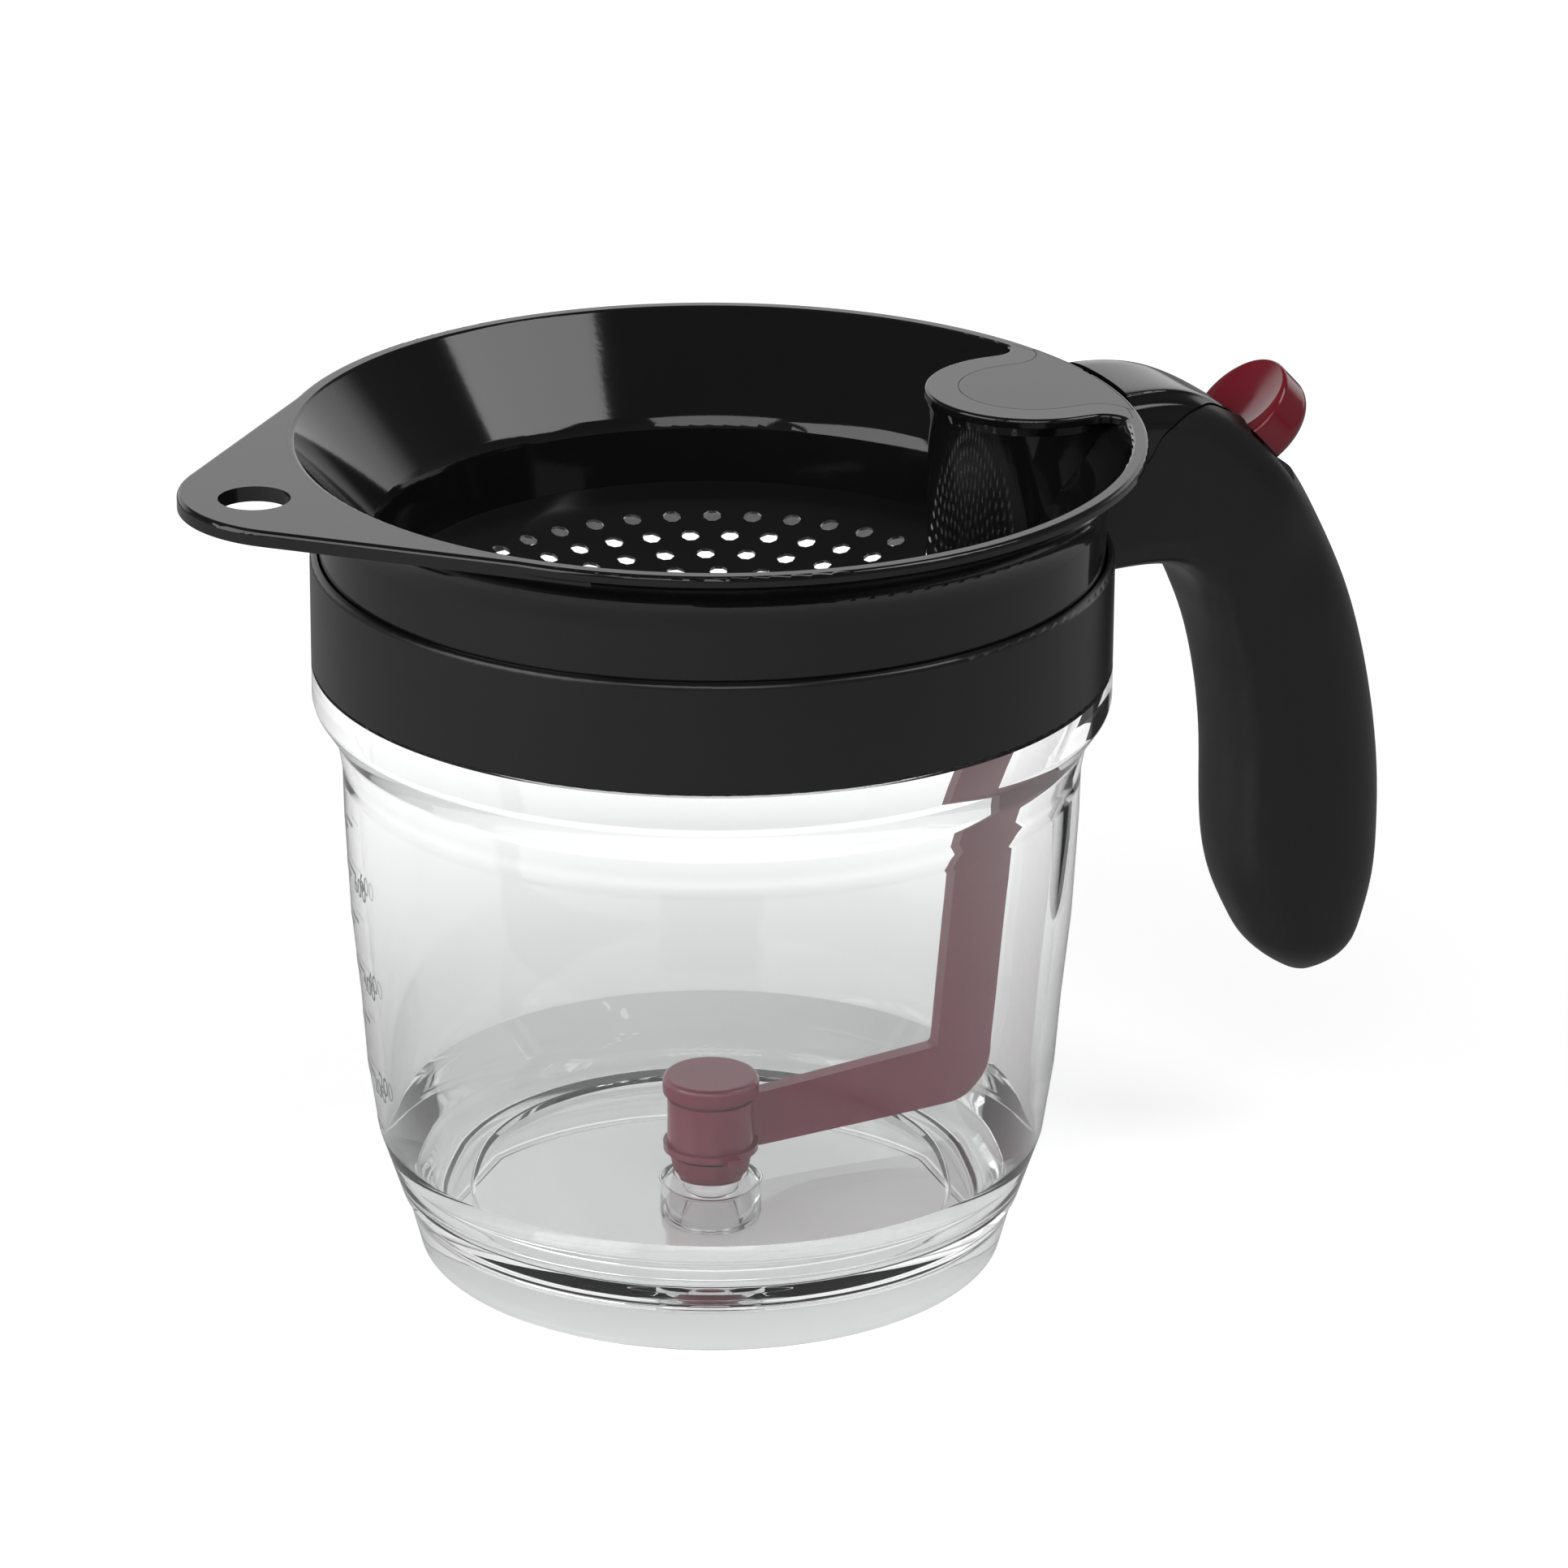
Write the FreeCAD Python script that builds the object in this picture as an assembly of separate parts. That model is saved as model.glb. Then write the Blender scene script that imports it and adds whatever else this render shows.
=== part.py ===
"""Gravy fat separator: clear vessel with a drain plug lifted by a thumb trigger, and a lift-off strainer lid.

Frame: millimetres, +Z up.  The origin is on the vessel's axis in the plane of its foot.
+X points to the handle, -X to the lid's lifting tab, and the object is symmetric about Y = 0
apart from the turn of the hole rings and the trigger's return spring.
"""
import FreeCAD, Part
import math
import os

V = FreeCAD.Vector
os.makedirs("parts", exist_ok=True)

# ------------------------------------------------------------------ driving dimensions
# Main radii and heights
COLLAR_R = 68.0            # outside radius of the collar
COLLAR_BOTTOM = 107.1      # lower edge of the collar, on the vessel's shoulder
COLLAR_HEIGHT = 19.4       # from that edge to the parting line under the lid's skirt
LID_HEIGHT = 20.1          # from the parting line to the flat top of the lid

# Vessel
FOOT_INSET = 17.6          # foot inside the collar's outside radius
FOOT_LAND = 3.0            # width of the ring that it stands on
FOOT_RECESS = 3.2          # straight part of the foot's inside wall, shallower than the outlet's lift
WALL = 2.5                 # side wall and floor
WAIST_INSET = 8.0          # top of the rounded base inside the collar's outside radius
WAIST_Z = 41.0
SHOULDER_INSET = 5.0       # wall just under the flared shoulder inside the collar's outside radius
SHOULDER_DROP = 18.5       # from the collar's lower edge down to the start of the flare
FLOOR_Z = 11.5             # inside face of the floor
FLOOR_STEP = 0.7           # raised ring round the floor
FLOOR_RING_INSET = 9.4     # inside the foot's outside radius
STEP_Z = 10.4              # groove round the outside at the top of the foot skirt
STEP_DEPTH = 0.6
NECK_WALL = 2.4            # vessel neck inside the collar
NECK_HEIGHT = 13.9         # neck above the collar's lower edge
BOND_GAP = 0.1             # adhesive film between vessel and collar

# Drain
DRAIN_R = 4.9              # free bore of the outlet
DRAIN_TUBE_R = 8.7         # outside of the outlet tube under the floor
DRAIN_LIFT = 3.6           # outlet tube's lower end above the table
SEAT_TOP_R = 6.4           # conical seat where it opens into the floor
SEAT_HEIGHT = 3.4
SEAL_GAP = 0.35            # between plug seal and seat

# Collar
COLLAR_WALL = 2.7
FLANGE_INSET = 7.0         # inward flange over the vessel's neck, inside the collar's outside radius
FLANGE_T = 1.8
COLLAR_ROUND = 1.0         # rounding of the collar's top edge round the lid
GATE_W = 13.0              # gap in collar and skirt that the lever passes through
GATE_TOP_DROP = 6.2        # top of that gap in the skirt, below the lid's flat top

# Lid: rim, skirt, cone, well, plate
RIM_OVERHANG = 5.25
RIM_LAND = 2.75
RIM_T = 2.4
RIM_ROUND = 0.8
RIM_CHAMFER = 0.7          # along the rim's lower edge
FLARE_DROP = 8.6           # where the skirt starts to flare, below the lid's flat top
FLARE_INSET = 1.1          # top of the flare inside the rim's edge
SKIRT_INSET = 1.5          # skirt inside the collar's outside radius
SKIRT_NEST = 3.0           # skirt's lower edge below the collar's top
SKIRT_WALL = 2.0
LID_WALL = 2.0
PARTING_GAP = 0.32         # round the skirt, between lid and collar
WELL_TOP_INSET = 11.6      # inside the collar's outside radius
WELL_TOP_DROP = 16.7       # below the lid's flat top
WELL_BOTTOM_INSET = 13.8
WELL_DEPTH = 10.3
SHOULDER_ROUND = 5.0       # convex rounding between cone and well
LEDGE_W = 2.2
LEDGE_T = 1.5
PLATE_T = 0.7
PLATE_SPHERE_R = 145.0     # inside radius of the dished perforated plate
PLATE_GAP = 0.1
HOLE_R = 1.6
HOLE_FLARE = 0.25          # how much wider a hole is under the plate
HOLE_SIDES = 8
OUTER_RING_INSET = 9.2     # outer ring of holes inside the well's wall
RING_PITCH = 5.5
RING_HOLES = (40, 36, 30, 24, 20, 15, 10, 6)
RING_TURN = (2.2, 0.7, 7.1, 3.0, 0.0, 6.0, 12.0, 20.0)

# Lid: tower, hood and tab
TOWER_INSET = 8.0          # tower's axis inside the collar's outside radius
TOWER_R = 17.5
TOWER_WALL = 2.0
TOWER_FLARE = 1.6          # height of the tower's widening under the hood
HOOD_LIP = 0.8             # hood's overhang past the tower
HOOD_T = 1.6
HOOD_CORNER_R = 4.0        # concave corners where the hood runs into the rim
HOOD_GAP = 0.08
HOOD_ROUND = 0.6
HOOD_EDGE = 1.0            # hood's root beyond the rim's inner edge
INLAY_W = 24.8             # raised tongue on the hood, from its round nose to the rim's edge
INLAY_CORNER_R = 6.0
INLAY_EDGE = 0.9           # inlay's end inside the rim's outside radius
INLAY_T = 0.6
INLAY_GAP = 0.12
TAB_REACH = 94.7
TAB_TIP_R = 22.4
TAB_T = 2.6
TAB_SINK = 0.4             # tab's sides run into the rim this far inside its edge
TAB_SEAT = 1.0             # tab's root outside the rim's inner edge
HANG_R = 6.0
HANG_REACH = 82.7
NECK_CLEAR = 0.6           # between the lid and the handle's neck

# Handle
GRIP_W = 28.0              # width of neck and grip
GRIP_LENGTH = 116.5        # from the lid's top plane to the grip's end
SKIN = 2.2                 # soft grip and glossy cover over the rigid core
SKIN_GAP = 0.12
SEAM = 0.35                # open line between grip and glossy cover
CHAMBER_W = 14.4           # lever chamber inside the neck
CHAMBER_DEPTH = 25.6
CHAMBER_REACH = 27.6       # floor of the chamber, out from the collar
NOTCH_W = 21.8             # open recess round the thumb paddle
EGG = 0.08                 # how far the grip's widest point moves to its inner side
SECTION_POINTS = 24        # points round each section of the handle

# Trigger lever
PIVOT_OUT = 20.0           # pivot beyond the collar's outside radius
PIVOT_DROP = 14.6          # pivot below the lid's top plane
PIVOT_R = 1.5
PIVOT_PLAY = 0.05
PIN_FIT = 0.02
PIN_LENGTH = 20.0
HUB_R = 4.6
HUB_W = 11.8
SPRING_ROOM = 4.4          # part of the hub's width left free for the return spring
BEAM_W = 9.0
BEAM_H = 6.0
STEM_W = 8.0
PADDLE_R = 10.3            # half-round thumb paddle
PADDLE_T = 8.5
PADDLE_OUT = 32.2          # middle of its face beyond the collar's outside radius
PADDLE_DROP = 8.6          # and below the lid's top plane
PADDLE_LEAN = 43.0         # slope of its face, degrees
PADDLE_FOOT = 2.5          # how far it runs on below the middle of its face
PADDLE_DISH_R = 30.0
PADDLE_DISH = 1.1          # depth of the dished face
PADDLE_BACK_ROUND = 3.0
PADDLE_FACE_ROUND = 0.9
TRIGGER_TRAVEL = 15.0      # degrees

# Return spring on the pivot pin
SPRING_WIRE_R = 0.4
SPRING_COIL_R = 3.0
SPRING_TURNS = 2           # whole turns between the two legs' half turn
SPRING_PITCH = 1.3
SPRING_Y = 5.35            # outer end of the coil, beside the beam
SPRING_TOP_LEG = 11.0
SPRING_TOP_LEAN = 9.0      # slope of each leg below the horizontal, degrees
SPRING_FLOOR_LEG = 13.4
SPRING_FLOOR_LEAN = 25.0

# Lift arm, cross pin, guide and plug
ARM_T = 3.0
ARM_TOP_W = 10.1
ARM_WALL_GAP = 1.2         # between arm and the vessel's inside
ARM_RISE = 1.5             # slope of the arm's lower leg
ARM_H = 10.0               # height of the lower leg at the plug
CROSS_R = 2.0
CROSS_LENGTH = 10.0
CROSS_INSET = 10.0         # cross pin inside the collar's outside radius
CROSS_DROP = 4.0           # cross pin below the pivot
CROSS_GAP = 0.35
FORK_GAP = 0.5
JAW_T = 2.4
GUIDE_GAP = 0.4
GUIDE_T = 3.5
GUIDE_WALL = 1.4
PLUG_R = 7.6
CAP_R = 8.4
CAP_H = 3.0
PLUG_BOTTOM = 16.2
PLUG_HEIGHT = 10.6
PLUG_STEM_R = 3.0
PLUG_GROOVE = 0.6

# ------------------------------------------------------------------ derived levels
COLLAR_TOP = COLLAR_BOTTOM + COLLAR_HEIGHT
TOP_Z = COLLAR_TOP + LID_HEIGHT
NECK_TOP = COLLAR_BOTTOM + NECK_HEIGHT
FOOT_R = COLLAR_R - FOOT_INSET
WAIST_R = COLLAR_R - WAIST_INSET
SHOULDER_R = COLLAR_R - SHOULDER_INSET
FLOOR_RING_R = FOOT_R - FLOOR_RING_INSET
FLANGE_IN_R = COLLAR_R - FLANGE_INSET
WELL_TOP_R = COLLAR_R - WELL_TOP_INSET
WELL_BOTTOM_R = COLLAR_R - WELL_BOTTOM_INSET
OUTER_RING_R = WELL_BOTTOM_R - OUTER_RING_INSET
COLLAR_IN_R = COLLAR_R - COLLAR_WALL
NECK_R = COLLAR_IN_R - BOND_GAP
NECK_IN_R = NECK_R - NECK_WALL
SHOULDER_Z = COLLAR_BOTTOM - SHOULDER_DROP
FLANGE_TOP = NECK_TOP + BOND_GAP + FLANGE_T
RIM_R = COLLAR_R + RIM_OVERHANG
RIM_IN_R = RIM_R - RIM_LAND
RIM_BOTTOM = TOP_Z - RIM_T
FLARE_Z = TOP_Z - FLARE_DROP
FLARE_R = RIM_R - FLARE_INSET
CHAMBER_X = COLLAR_R + CHAMBER_REACH
CHAMBER_Z = TOP_Z - CHAMBER_DEPTH
SKIRT_R = COLLAR_R - SKIRT_INSET
SKIRT_IN_R = SKIRT_R - SKIRT_WALL
SKIRT_BOTTOM = COLLAR_TOP - SKIRT_NEST
HOOD_BOTTOM = TOP_Z - HOOD_T
TOWER_X = COLLAR_R - TOWER_INSET
TOWER_IN_R = TOWER_R - TOWER_WALL
WELL_TOP_Z = TOP_Z - WELL_TOP_DROP
PLATE_EDGE_Z = WELL_TOP_Z - WELL_DEPTH
SPHERE_Z = PLATE_EDGE_Z + math.sqrt(PLATE_SPHERE_R ** 2 - WELL_BOTTOM_R ** 2)
PIVOT_X = COLLAR_R + PIVOT_OUT
PIVOT_Z = TOP_Z - PIVOT_DROP
CROSS_X = COLLAR_R - CROSS_INSET
CROSS_Z = PIVOT_Z - CROSS_DROP
ARM_OUT_X = CROSS_X + 2.6
ARM_IN_X = ARM_OUT_X - ARM_TOP_W


# ------------------------------------------------------------------ helpers
def rounded(before, corner, after, radius):
    """Start, middle and end of the arc that rounds a corner."""
    a = (before - corner).normalize()
    b = (after - corner).normalize()
    half = math.acos(max(-1.0, min(1.0, a.dot(b)))) / 2
    reach = radius / math.tan(half)
    bisector = (a + b).normalize()
    middle = corner + bisector * (radius / math.sin(half) - radius)
    return corner + a * reach, middle, corner + b * reach


def run(points, closed=False):
    """Lines and rounded corners through (x, z) or (x, z, corner radius) points of the XZ plane."""
    corners = [V(p[0], 0, p[1]) for p in points]
    count = len(corners)
    edges = []
    at = None
    first = None
    for i, corner in enumerate(corners):
        radius = points[i][2] if len(points[i]) > 2 else 0
        start, end = corner, corner
        if radius > 0:
            start, middle, end = rounded(corners[i - 1], corner, corners[(i + 1) % count], radius)
        if at is not None and (start - at).Length > 1e-5:
            edges.append(Part.LineSegment(at, start).toShape())
        if radius > 0:
            edges.append(Part.Arc(start, middle, end).toShape())
        if first is None:
            first = start
        at = end
    if closed and (first - at).Length > 1e-5:
        edges.append(Part.LineSegment(at, first).toShape())
    return edges


def face_xz(points):
    return Part.Face(Part.Wire(run(points, closed=True)))


def revolve(face):
    return face.revolve(V(0, 0, 0), V(0, 0, 1), 360)


def ring(points):
    """Solid of revolution about Z from (r, z, corner radius) points."""
    return revolve(face_xz(points))


def plate(points, width, y=0.0):
    """XZ outline extruded along Y, centred on y."""
    face = face_xz(points)
    face.translate(V(0, y - width / 2, 0))
    return face.extrude(V(0, width, 0))


def rod_z(radius, z0, z1, x=0.0, y=0.0):
    return Part.makeCylinder(radius, z1 - z0, V(x, y, z0))


def rod_y(radius, width, x, z, y=0.0):
    return Part.makeCylinder(radius, width, V(x, y - width / 2, z), V(0, 1, 0))


def box(x0, x1, y0, y1, z0, z1):
    return Part.makeBox(x1 - x0, y1 - y0, z1 - z0, V(x0, y0, z0))


def save(shape, name):
    solids = shape.removeSplitter().Solids
    result = solids[0] if len(solids) == 1 else Part.makeCompound(solids)
    print(f"{name}: {len(solids)} solid, valid {result.isValid()}, volume {result.Volume:.0f} mm3")
    result.exportStep(f"parts/{name}.step")


# ------------------------------------------------------------------ vessel
def side_curve(inset, base):
    """Smooth side wall from the rounded base through the waist to the shoulder."""
    points = [
        base, V(FOOT_R + 7.3 - inset, 0, STEP_Z + 12.0), V(FOOT_R + 9.1 - inset, 0, STEP_Z + 24.3),
        V(WAIST_R + 0.4 - inset, 0, WAIST_Z + 6.0), V(WAIST_R + 1.9 - inset, 0, WAIST_Z + 21.0),
        V(SHOULDER_R - 0.2 - inset, 0, SHOULDER_Z - 9.0), V(SHOULDER_R - inset, 0, SHOULDER_Z)]
    curve = Part.BSplineCurve()
    curve.interpolate(points)
    return curve.toShape()


def make_vessel():
    """Clear wall, floor and foot skirt with the outlet tube, as one revolved section."""
    skirt_top = FOOT_R + 3.2
    base = V(skirt_top + 0.3, 0, STEP_Z + 0.6)
    floor_edge = V(FOOT_R + 0.2 - WALL, 0, FLOOR_Z + 4.5)
    under = FLOOR_Z - WALL
    shoulder_in = SHOULDER_R - WALL
    flare = run([
        (SHOULDER_R, SHOULDER_Z), (SHOULDER_R + 1.1, SHOULDER_Z + 6.2, 8.0),
        (COLLAR_R, SHOULDER_Z + 12.2, 5.0), (COLLAR_R, COLLAR_BOTTOM - BOND_GAP),
        (NECK_R, COLLAR_BOTTOM - BOND_GAP), (NECK_R, NECK_TOP), (NECK_IN_R, NECK_TOP),
        (NECK_IN_R, SHOULDER_Z + 13.0, 10.0), (shoulder_in, SHOULDER_Z)])
    floor = run([
        (floor_edge.x, floor_edge.z), (FOOT_R - 5.0, FLOOR_Z + FLOOR_STEP, 3.5),
        (FLOOR_RING_R, FLOOR_Z + FLOOR_STEP), (FLOOR_RING_R - 0.7, FLOOR_Z), (SEAT_TOP_R, FLOOR_Z),
        (DRAIN_R, FLOOR_Z - SEAT_HEIGHT), (DRAIN_R, DRAIN_LIFT), (DRAIN_TUBE_R, DRAIN_LIFT, 0.6),
        (DRAIN_TUBE_R, under), (FOOT_R - FOOT_LAND + 0.8, under, 1.5), (FOOT_R - FOOT_LAND, FOOT_RECESS),
        (FOOT_R - FOOT_LAND, 0), (FOOT_R, 0, 1.0), (skirt_top - STEP_DEPTH, STEP_Z - 0.6), (base.x, base.z)])
    wire = Part.Wire(flare + [side_curve(WALL, floor_edge)] + floor + [side_curve(0, base)])
    return revolve(Part.Face(wire))


# ------------------------------------------------------------------ handle shape
def drop(depth):
    """Height of a handle station; the part below the neck stretches with the grip's length."""
    neck = 40.0
    if depth <= neck:
        return TOP_Z - depth
    return TOP_Z - neck - (depth - neck) * (GRIP_LENGTH - neck) / (116.5 - neck)


def handle_stations():
    """Outer point, inner point, share of the full width and squareness of each section."""
    rows = [
        (-10.0, 0.0, -10.0, 31.8, 1.06, 5.5), (4.0, 0.0, 4.0, 31.8, 1.06, 5.5),
        (11.0, 0.1, 11.5, 32.2, 1.02, 5.2), (18.0, 1.5, 16.6, 33.6, 1.00, 4.6),
        (25.5, 5.3, 19.6, 35.8, 1.00, 4.0), (33.0, 11.2, 21.8, 38.6, 1.00, 3.5),
        (39.7, 18.5, 23.3, 42.3, 1.00, 3.1), (45.6, 27.6, 24.8, 46.4, 1.00, 2.8),
        (50.7, 37.6, 26.3, 51.8, 1.00, 2.6), (54.7, 47.9, 27.7, 58.6, 1.00, 2.5),
        (57.7, 58.8, 28.6, 65.6, 1.00, 2.4), (59.7, 69.6, 29.2, 73.1, 1.00, 2.4),
        (60.8, 80.1, 29.4, 81.6, 1.00, 2.4), (61.0, 89.4, 29.9, 89.4, 0.99, 2.4),
        (60.4, 98.6, 31.8, 98.0, 0.95, 2.4), (58.6, 107.0, 35.2, 105.8, 0.84, 2.3),
        (55.2, 113.2, 39.6, 112.0, 0.62, 2.2), (50.4, 116.2, 44.6, 115.6, 0.26, 2.0)]
    stations = []
    for out_x, out_d, in_x, in_d, share, square in rows:
        outer = V(COLLAR_R + out_x, 0, drop(out_d))
        inner = V(COLLAR_R + in_x, 0, drop(in_d))
        stations.append((outer, inner, share * GRIP_W / 2, square))
    return stations


def section_points(outer, inner, half_width, square, inset):
    """Points round a closed egg-shaped section, widest towards its inner side."""
    centre = (outer + inner) * 0.5
    axis = (outer - inner).normalize()
    a = (outer - inner).Length / 2 - inset
    b = half_width - inset
    egg = EGG if square < 3.0 else 0.0
    points = []
    for k in range(SECTION_POINTS):
        t = 2 * math.pi * (k + 0.5) / SECTION_POINTS
        c, s = math.cos(t), math.sin(t)
        u = a * math.copysign(abs(c) ** (2 / square), c)
        w = b * math.copysign(abs(s) ** (2 / square), s) * (1 - egg * u / a) / (1 + egg / 2)
        points.append(centre + axis * u + V(0, w, 0))
    return points


def curve_through(points, parameters, closed):
    curve = Part.BSplineCurve()
    curve.interpolate(Points=points, Parameters=parameters, PeriodicFlag=closed)
    return curve


def handle_body(inset):
    """The whole handle's outside, or a smaller copy of it inset by the skin's thickness."""
    stations = handle_stations()
    if inset > 0:
        stations.pop()
    grid = [section_points(*station, inset) for station in stations]
    middles = [(station[0] + station[1]) * 0.5 for station in stations]
    along = [0.0]
    for before, after in zip(middles, middles[1:]):
        along.append(along[-1] + (after - before).Length)
    along = [value / along[-1] for value in along]
    around = [k / SECTION_POINTS for k in range(SECTION_POINTS + 1)]
    lengthwise = [curve_through([row[k] for row in grid], along, False) for k in range(SECTION_POINTS)]
    nets = [curve.getPoles() for curve in lengthwise]
    rings = [curve_through([net[j] for net in nets], around, True) for j in range(len(nets[0]))]
    surface = Part.BSplineSurface()
    surface.buildFromPolesMultsKnots(
        [curve.getPoles() for curve in rings],
        lengthwise[0].getMultiplicities(), rings[0].getMultiplicities(),
        lengthwise[0].getKnots(), rings[0].getKnots(), False, True, 3, 3)
    side = surface.toShape()
    caps = [Part.Face(Part.Wire([edge])) for edge in side.Edges if edge.isClosed()]
    shell = Part.makeShell([side] + caps)
    shell.sewShape()
    return Part.Solid(shell)


def lid_space(clear):
    """Space swept by the lid above the parting line, grown by a clearance."""
    return ring([
        (0, COLLAR_TOP), (SKIRT_R + clear, COLLAR_TOP), (SKIRT_R + clear, FLARE_Z - 3.6),
        (FLARE_R + clear, RIM_BOTTOM - 1.2 - clear), (RIM_R + clear, RIM_BOTTOM - clear),
        (RIM_R + clear, TOP_Z + 5), (0, TOP_Z + 5)])


def cover_space(gap):
    """Space above the seam between the glossy cover and the soft grip, shrunk by a gap."""
    x, z = COLLAR_R, TOP_Z + gap
    return plate([
        (x - 20, z - 12.3), (x + 6.8, z - 12.3, 4.0), (x + 10.2, z - 6.9, 6.0), (x + 19.0, z - 2.5, 10.0),
        (x + 28.4, z - 7.6), (x + 40, z - 14.0), (x + 40, z + 5), (x - 20, z + 5)], GRIP_W + 10)


def on_paddle(along, back):
    """Point of the XZ plane a distance up the paddle's face and a distance behind it."""
    lean = math.radians(PADDLE_LEAN)
    c, s = math.cos(lean), math.sin(lean)
    return V(COLLAR_R + PADDLE_OUT + along * c + back * s, 0, TOP_Z - PADDLE_DROP + along * s - back * c)


def pressed(point):
    """Where a point of the trigger is at the end of its travel."""
    turn = math.radians(TRIGGER_TRAVEL)
    x, z = point.x - PIVOT_X, point.z - PIVOT_Z
    c, s = math.cos(turn), math.sin(turn)
    return V(PIVOT_X + x * c + z * s, 0, PIVOT_Z - x * s + z * c)


def paddle_notch():
    """Open recess that the thumb paddle is pressed into."""
    front = on_paddle(-PADDLE_FOOT, 0)
    low_front = pressed(front)
    low_back = pressed(on_paddle(-PADDLE_FOOT, PADDLE_T))
    mouth = pressed(on_paddle(6.0, PADDLE_T))
    wall_x = front.x - 0.8
    return plate([
        (wall_x, TOP_Z + 5), (wall_x, low_front.z - 1.0), (low_back.x - 0.8, low_back.z - 1.6, 1.0),
        (mouth.x + 0.4, mouth.z - 0.9), (mouth.x + 20, mouth.z - 0.9), (mouth.x + 20, TOP_Z + 5)], NOTCH_W)


def lever_chamber():
    """Hollow of the neck that the lever swings in; the glossy cover closes its top."""
    end_x = CHAMBER_X + 6.0
    return plate([
        (COLLAR_R - 8, FLANGE_TOP), (COLLAR_R + 16, FLANGE_TOP), (CHAMBER_X, CHAMBER_Z), (end_x, CHAMBER_Z),
        (end_x, TOP_Z + 5), (COLLAR_R - 8, TOP_Z + 5)], CHAMBER_W)


# ------------------------------------------------------------------ collar, grip, cover
def collar_band():
    nest_r = SKIRT_R + PARTING_GAP
    return ring([
        (COLLAR_IN_R, COLLAR_BOTTOM), (COLLAR_R, COLLAR_BOTTOM, 0.8), (COLLAR_R, COLLAR_TOP, COLLAR_ROUND),
        (nest_r, COLLAR_TOP), (nest_r, FLANGE_TOP), (FLANGE_IN_R, FLANGE_TOP),
        (FLANGE_IN_R, NECK_TOP + BOND_GAP), (COLLAR_IN_R, NECK_TOP + BOND_GAP)])


def cut_for_lever(shape):
    """Takes the lever's chamber and its way through the collar out of a shape."""
    way_in = box(COLLAR_R - 15, COLLAR_R + 5, -GATE_W / 2, GATE_W / 2, FLANGE_TOP, TOP_Z + 5)
    return shape.cut(lever_chamber()).cut(way_in)


def make_collar():
    """Collar ring bonded over the vessel's neck."""
    return cut_for_lever(collar_band())


def make_handle_core(core):
    """Rigid core of the handle, welded to the collar's outside."""
    shape = core.cut(rod_z(COLLAR_R - 0.8, 0, TOP_Z + 10)).cut(collar_band())
    shape = cut_for_lever(shape.cut(lid_space(NECK_CLEAR)))
    shape = shape.cut(paddle_notch())
    return shape.cut(rod_y(PIVOT_R + PIN_FIT, PIN_LENGTH + 0.4, PIVOT_X, PIVOT_Z))


def handle_skin(whole, core_cut):
    shell = whole.cut(core_cut)
    shell = shell.cut(rod_z(COLLAR_R + SKIN_GAP, 0, TOP_Z + 10))
    shell = shell.cut(lid_space(NECK_CLEAR))
    return shell.cut(paddle_notch())


def make_grip(skin):
    return skin.cut(cover_space(-SEAM / 2))


def make_cover(skin):
    return skin.common(cover_space(SEAM / 2))


# ------------------------------------------------------------------ lid
def cone_offset():
    """Cone's slope as a unit vector, up and outwards."""
    return V(RIM_IN_R - WELL_TOP_R, 0, WELL_TOP_DROP).normalize()


def lid_outer_cone():
    """Under-surface of the cone: radius at the well's top and at a height z."""
    slope = cone_offset()
    low = (WELL_TOP_R + LID_WALL * slope.z, WELL_TOP_Z - LID_WALL * slope.x)
    rise = slope.x / slope.z

    def radius(z):
        return low[0] + (z - low[1]) * rise
    return low, radius


def plate_under(r):
    """Height of the perforated plate's under-surface."""
    return SPHERE_Z - math.sqrt((PLATE_SPHERE_R + PLATE_T) ** 2 - r ** 2)


def well_inside(z_top):
    """Filled space inside the lid's wall, used to trim the tower."""
    low, radius = lid_outer_cone()
    base = plate_under(WELL_BOTTOM_R) - LEDGE_T - 8
    return ring([
        (0, base), (WELL_BOTTOM_R + LID_WALL - 0.3, base), (WELL_BOTTOM_R + LID_WALL - 0.3, PLATE_EDGE_Z),
        (low[0] - 0.3, low[1]), (radius(z_top) - 0.3, z_top), (0, z_top)])


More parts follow.
